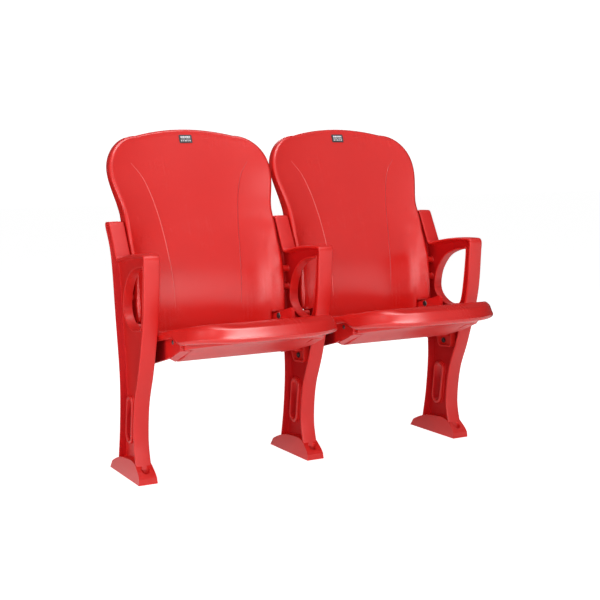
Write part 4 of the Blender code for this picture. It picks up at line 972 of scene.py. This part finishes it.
def cheekScrew(name, sign):
    # domed head with a cross recess
    top = cheekOuter + screw.proud
    profile = [(cheekOuter - screw.sink + row.gap, screw.radius)]
    profile += [(top - below, radius) for below, radius in screw.dome]
    body = turnedPiece(name, sign, profile, screwPlace, 32)
    y, z = screwPlace
    for wide, tall in (screw.cross, screw.cross[::-1]):
        outline = [(y + u * wide / 2, z + v * tall / 2) for u, v in ((-1, -1), (1, -1), (1, 1), (-1, 1))]
        cross = prism(outline, top - screw.crossDeep, top + screw.crossPast, sign)
        combine(body, cross, "DIFFERENCE")
    return body


def bushBody(name, sign):
    loose, past = pivot.bushEase, pivot.past
    ends = [(cheek.inner + loose, pivot.bush), (cheekOuter - loose, pivot.bush)]
    body = turnedPiece(name, sign, ends, (0.0, 0.0), 40)
    bore = [(p, pivot.radius + loose) for p in (cheek.inner - past, cheekOuter + past)]
    combine(body, turned(bore, (0.0, 0.0), 40, sign), "DIFFERENCE")
    return soften(body, pivot.bushSoft, 2)


block = Sizes(
    base=0.0055, wall=0.005, proud=0.0035, boss=0.0105, bossShares=(0.97, 0.92), toe=0.086, toeLow=0.120,
    toeHigh=0.050, toeRound=0.012, boltRound=0.019, roundSteps=48, overlap=0.001, ledgeSpare=0.002,
    soft=0.0012)
buffer = Sizes(length=0.020, height=0.022, width=0.015, ledge=0.010, topShare=0.8, soft=0.0015)
blockEdge = half - leg.flange / 2 - block.proud


def blockOutline():
    # a border drawn tight round four discs: pivot boss, upper toe, lower toe and bolt
    points, steps = [], block.roundSteps
    for ahead, z, radius in ((0.0, 0.0, block.boss), (block.toe, -block.toeHigh, block.toeRound),
                             (block.toe, -block.toeLow, block.toeRound),
                             (blockBolt.ahead, -blockBolt.drop, block.boltRound)):
        points += arc((-ahead, z), radius, 0, 360 - 360 / steps, steps - 1)
    points = sorted(set(points))
    chains = []
    for sequence in (points, points[::-1]):
        chain = []
        for p in sequence:
            while len(chain) > 1 and ((chain[-1][0] - chain[-2][0]) * (p[1] - chain[-2][1])
                                      - (chain[-1][1] - chain[-2][1]) * (p[0] - chain[-2][0])) <= 0:
                chain.pop()
            chain.append(p)
        chains += chain[:-1]
    return chains


def blockBody(name, sign):
    face = webFace - blockBolt.pad - row.gap
    inner, root = face - block.base, face - block.overlap
    outline = blockOutline()
    body = rawObject(name, prism(outline, face, blockEdge, sign))
    hollow = prism(moved(outline, -block.wall), inner, blockEdge - block.wall, sign)
    combine(body, hollow, "DIFFERENCE")
    rootShare, tipShare = block.bossShares
    boss = [(root, block.boss * rootShare), (cheekOuter + row.gap, block.boss * tipShare)]
    combine(body, turned(boss, (0.0, 0.0), 40, sign), "UNION")
    top = -stop.drop - stop.radius - row.gap * 2 - buffer.height
    low, wide = top - buffer.ledge, buffer.length / 2 + block.ledgeSpare
    near, far = -stop.ahead - wide, -stop.ahead + wide
    ledge = prism([(near, top), (near, low), (far, low), (far, top)], root,
                  blockEdge - buffer.width - block.overlap, sign)
    combine(body, ledge, "UNION")
    return soften(body, block.soft)


def bufferBody(name, sign):
    wide = buffer.length / 2
    high = -stop.drop - stop.radius - row.gap
    low = high - buffer.height
    narrow = wide * buffer.topShare
    outline = [(-stop.ahead - wide, low), (-stop.ahead + wide, low), (-stop.ahead + narrow, high),
               (-stop.ahead - narrow, high)]
    body = rawObject(name, prism(outline, blockEdge - buffer.width, blockEdge, sign))
    return soften(body, buffer.soft)


def pivotBolt(name, sign):
    face = cheek.inner - row.gap - pivot.headThick
    profile = [(face + along, radius) for along, radius in pivot.head]
    ends = cheek.inner - row.gap, cheekOuter + pivot.past
    profile += [(along, pivot.radius) for along in ends]
    body = turnedPiece(name, sign, profile, (0.0, 0.0), 40)
    socket = [(p, pivot.socket) for p in (face - pivot.past / 2, face + pivot.socketDeep)]
    return combine(body, turned(socket, (0.0, 0.0), 6, sign), "DIFFERENCE")


hexHead = Sizes(
    across=0.0065, thick=0.0053, faceShare=0.97, cornerShare=1.02, chamfer=0.0016, washer=0.0083,
    washerLow=0.0002, washerHigh=0.0013, overlap=0.0001, past=0.001)


def hexBolt(name, sign, under, place):
    # head with chamfered corners on a thin washer
    corner, over = hexHead.across / cos(pi / 6), hexHead.overlap
    high, washerTop = under - hexHead.thick, under - hexHead.washerHigh
    wide = corner * hexHead.cornerShare
    head = turnedPiece(name, sign, [(high, corner), (washerTop + over, corner)], place, 6)
    cone = [(high - over, hexHead.across * hexHead.faceShare), (high + hexHead.chamfer, wide),
            (under + hexHead.past, wide)]
    combine(head, turned(cone, place, 36, sign), "INTERSECT")
    washer = [(p, hexHead.washer) for p in (washerTop, under - hexHead.washerLow)]
    return combine(head, turned(washer, place, 32, sign), "UNION")


lowerFace = webFace - blockBolt.pad - block.base - 2 * row.gap
sideFace = bay - back.wall - row.gap
for key, x in row.seats.items():
    body, axis, at = "seat_" + key, (x, -hinge.ahead, hinge.height), (x, 0.0, 0.0)
    dress(seatTop("seatShell_" + key), glossRed, body, "seat_top_" + key, "red_gloss", 50, axis, False)
    dress(seatPan("seatPan_" + key), satinRed, body, "seat_pan_" + key, "red_satin", 30, axis, False)
    for hand, sign in (("_a", -1), ("_b", 1)):
        tag = key + hand
        # the cheeks' finish carries a painted shadow on the rear of the outer face
        for piece, name, look, rides, node, slot, smooth in (
                (cheekBody, "cheek_", cheekRed, body, "seat_cheek_", "red_satin", 40),
                (cheekScrew, "cheekScrew_", darkSteel, body, "cheek_screw_", "steel", 30),
                (bushBody, "bush_", paleNylon, body, "pivot_bush_", "nylon", 40),
                (blockBody, "hingeBlock_", satinRed, "row_frame", "hinge_block_", "red_satin", 40),
                (bufferBody, "buffer_", blackRubber, "row_frame", "stop_buffer_", "rubber", 40),
                (pivotBolt, "pivotBolt_", darkSteel, "row_frame", "pivot_bolt_", "steel", 30)):
            dress(piece(name + tag, sign), look, rides, node + tag, slot, smooth, axis)
        bolt = hexBolt("blockBolt_" + tag, sign, lowerFace, blockBoltPlace)
        dress(bolt, darkSteel, "row_frame", "hinge_block_bolt_" + tag, "steel", 25, at)
        for level, height in backBolt.heights.items():
            bolt = hexBolt("backBolt_" + tag + "_" + level, sign, sideFace, (backBolt.rear, height))
            dress(bolt, darkSteel, "row_frame", "backrest_bolt_" + tag + "_" + level, "steel", 25, at)
print("seats made")


# Number plates, with rows of plain bars: how far down, how high and how wide

plate = Sizes(
    width=0.041, height=0.026, thick=0.0012, drop=0.029, round=0.003, soft=0.0003, margin=0.0052,
    markRound=0.0006, markThick=0.0004, clear=0.0001, sunk=0.0001, probe=0.005,
    rows=[(0.0072, 0.0054, [0.005, 0.007, 0.004, 0.007, 0.004]), (0.0136, 0.0014, [0.014, 0.014]),
          (0.0190, 0.0040, [0.004, 0.003, 0.005, 0.003, 0.004])])


def plateMatrix(x, lift):
    z, probe = back.top - plate.drop, plate.probe
    lean = atan2(backFace(0.0, z + probe) - backFace(0.0, z - probe), 2 * probe)
    along = Vector((0.0, sin(lean), cos(lean)))
    out = Vector((0.0, -cos(lean), sin(lean)))
    middle = Vector((x, backFace(0.0, z), z)) + out * lift
    turn = Matrix((Vector((1.0, 0.0, 0.0)), along, out)).transposed().to_4x4()
    return Matrix.Translation(middle) @ turn


def plateSheet(name, width, height, radius, thick):
    outline = []
    for sx, sy, start in ((1, 1, 0), (-1, 1, 90), (-1, -1, 180), (1, -1, 270)):
        outline += arc((sx * (width / 2 - radius), sy * (height / 2 - radius)), radius, start, start + 90, 6)
    return rawObject(name, loft([[(u, v, lift) for u, v in outline] for lift in (0.0, thick)]))


for key, x in row.seats.items():
    node, base = "number_plate_" + key, row.gap + plate.clear
    sheet = plateSheet("plateSheet_" + key, plate.width, plate.height, plate.round, plate.thick)
    soften(sheet, plate.soft, 2).data.transform(plateMatrix(x, base))
    dress(sheet, plateBlack, "row_frame", node, "plate", 40)
    face = plateMatrix(x, base + plate.thick - plate.sunk)
    for i, (down, height, widths) in enumerate(plate.rows):
        gap = (plate.width - 2 * plate.margin - sum(widths)) / (len(widths) - 1)
        left = -plate.width / 2 + plate.margin
        for k, width in enumerate(widths):
            mark = plateSheet("plateMark_" + key + "_" + str(i) + str(k), width, height, plate.markRound,
                              plate.markThick)
            mark.data.transform(Matrix.Translation((left + width / 2, plate.height / 2 - down, 0.0)))
            mark.data.transform(face)
            dress(mark, plateWhite, "row_frame", node, "plate", 40)
            left += width + gap
print("plates made")


# Stage, light and camera

floorLook = Sizes(
    size=30.0, drop=0.0005, matt=0.93, dark=0.02, glow=2.6, seen=0.365, hidden=0.9, mirrored=0.40,
    byRear=0.27, bySide=0.06, leastMirrored=0.03)


def paleGrey(level):
    return (level, level, level, 1.0)


def plainFloor():
    # white to the camera, with a reflection that fades to dark behind the row
    bm = bmesh.new()
    bmesh.ops.create_grid(bm, x_segments=1, y_segments=1, size=floorLook.size)
    floor = rawObject("floor", bm)
    look = bpy.data.materials.new("paleFloor")
    start = emptied(look)
    matt, dark = (start.make("BsdfDiffuse", {"Color": paleGrey(level)})
                  for level in (floorLook.matt, floorLook.dark))
    glow = start.make("Emission", {"Color": paleGrey(1.0), "Strength": floorLook.glow})
    seen = start.make("LightPath", output="Is Camera Ray")
    shine = start.make("LightPath", output="Is Glossy Ray")
    side, rear = start.make("TexCoord", output="Object").parts()[:2]
    share = floorLook.mirrored - rear * floorLook.byRear - side * floorLook.bySide
    share = shine * share.held(floorLook.leastMirrored, 1.0)
    hidden = (rear * floorLook.hidden).held(0.0, floorLook.hidden)
    mixed = start.make("MixShader", {0: seen * floorLook.seen + share, 1: matt, 2: glow})
    shaded = start.make("MixShader", {0: shine * hidden, 1: mixed, 2: dark})
    start.make("OutputMaterial", {"Surface": shaded})
    floor.data.materials.append(look)
    floor.location = (0.0, 0.0, -floorLook.drop)


studio = Sizes(
    fill=0.08, seen=1.02, room=0.06, byRear=1.05, bySide=0.48, byHeight=0.70, roomRange=(0.05, 1.6),
    level=1.1, levelNarrow=16.0, panel=(0.02, -0.155, 0.988), panelFrom=0.90, panelEdge=12.0, panelGlow=4.6)


def surroundings():
    # what shines in the gloss: a room brighter in front, a band along the horizon and a panel overhead
    world = bpy.data.worlds.new("studio")
    start = emptied(world)
    seen = start.make("LightPath", output="Is Camera Ray")
    shine = start.make("LightPath", output="Is Glossy Ray")
    side, rear, above = start.make("TexCoord", output="Generated").parts()
    room = studio.room - rear * studio.byRear - side * studio.bySide + above * studio.byHeight
    level = (1.0 - above * above * studio.levelNarrow).held() * (0.0 - rear).held()
    px, py, pz = studio.panel
    panel = ((side * px + rear * py + above * pz - studio.panelFrom) * studio.panelEdge).held()
    lit = room.held(*studio.roomRange) + level * studio.level + panel * studio.panelGlow
    strength = studio.fill + seen * studio.seen + shine * lit
    glow = start.make("Background", {"Color": paleGrey(1.0), "Strength": strength})
    start.make("OutputWorld", {"Surface": glow})
    bpy.context.scene.world = world


# place, target, width, height and power
lamps = {"frontWall": ((-1.0, -3.6, 0.85), (-0.7, 0.0, 0.75), 4.0, 1.6, 49.0),
         "frontLeft": ((-2.3, -2.3, 1.9), (0.0, 0.0, 0.55), 1.7, 1.7, 14.0),
         "left": ((-3.2, -1.0, 0.95), (0.0, 0.0, 0.60), 1.7, 1.5, 25.0),
         "top": ((0.0, -0.85, 3.2), (0.0, -0.80, 0.4), 1.8, 0.8, 28.0),
         "topFront": ((-0.2, -1.7, 3.5), (-0.1, 0.0, 0.55), 1.7, 1.7, 12.0),
         "rear": ((1.4, 3.4, 1.9), (0.0, 0.0, 0.55), 2.0, 1.6, 32.0)}


def softbox(name, place, target, width, height, power):
    data = preset(bpy.data.lights.new(name, "AREA"), shape="RECTANGLE", size=width, size_y=height,
                  energy=power)
    turn = (Vector(target) - Vector(place)).to_track_quat("-Z", "Y")
    preset(linked(name, data), location=place, rotation_mode="QUATERNION", rotation_quaternion=turn)


viewpoint = Sizes(
    place=(-1.5536, -3.0065, 0.8384), yaw=27.666, pitch=6.358, roll=-1.091, focalPixels=1137.66,
    imagePixels=600.0, sensor=36.0, farthest=100.0)


def photoCamera():
    lens = viewpoint.focalPixels / viewpoint.imagePixels * viewpoint.sensor
    data = preset(bpy.data.cameras.new("camera"), sensor_width=viewpoint.sensor, lens=lens,
                  clip_end=viewpoint.farthest)
    camera = linked("camera", data)
    yaw, pitch, roll = (radians(a) for a in (viewpoint.yaw, viewpoint.pitch, viewpoint.roll))
    ahead = Vector((sin(yaw) * cos(pitch), cos(yaw) * cos(pitch), -sin(pitch)))
    right = ahead.cross(Vector((0.0, 0.0, 1.0))).normalized()
    up = right.cross(ahead)
    across = right * cos(roll) + up * sin(roll)
    above = up * cos(roll) - right * sin(roll)
    turn = Matrix((across, above, -ahead)).transposed().to_4x4()
    camera.matrix_world = Matrix.Translation(viewpoint.place) @ turn
    bpy.context.scene.camera = camera


plainFloor()
surroundings()
for name, setting in lamps.items():
    softbox(name, *setting)
photoCamera()
bpy.context.scene.view_settings.view_transform = "Standard"
print("stage made")
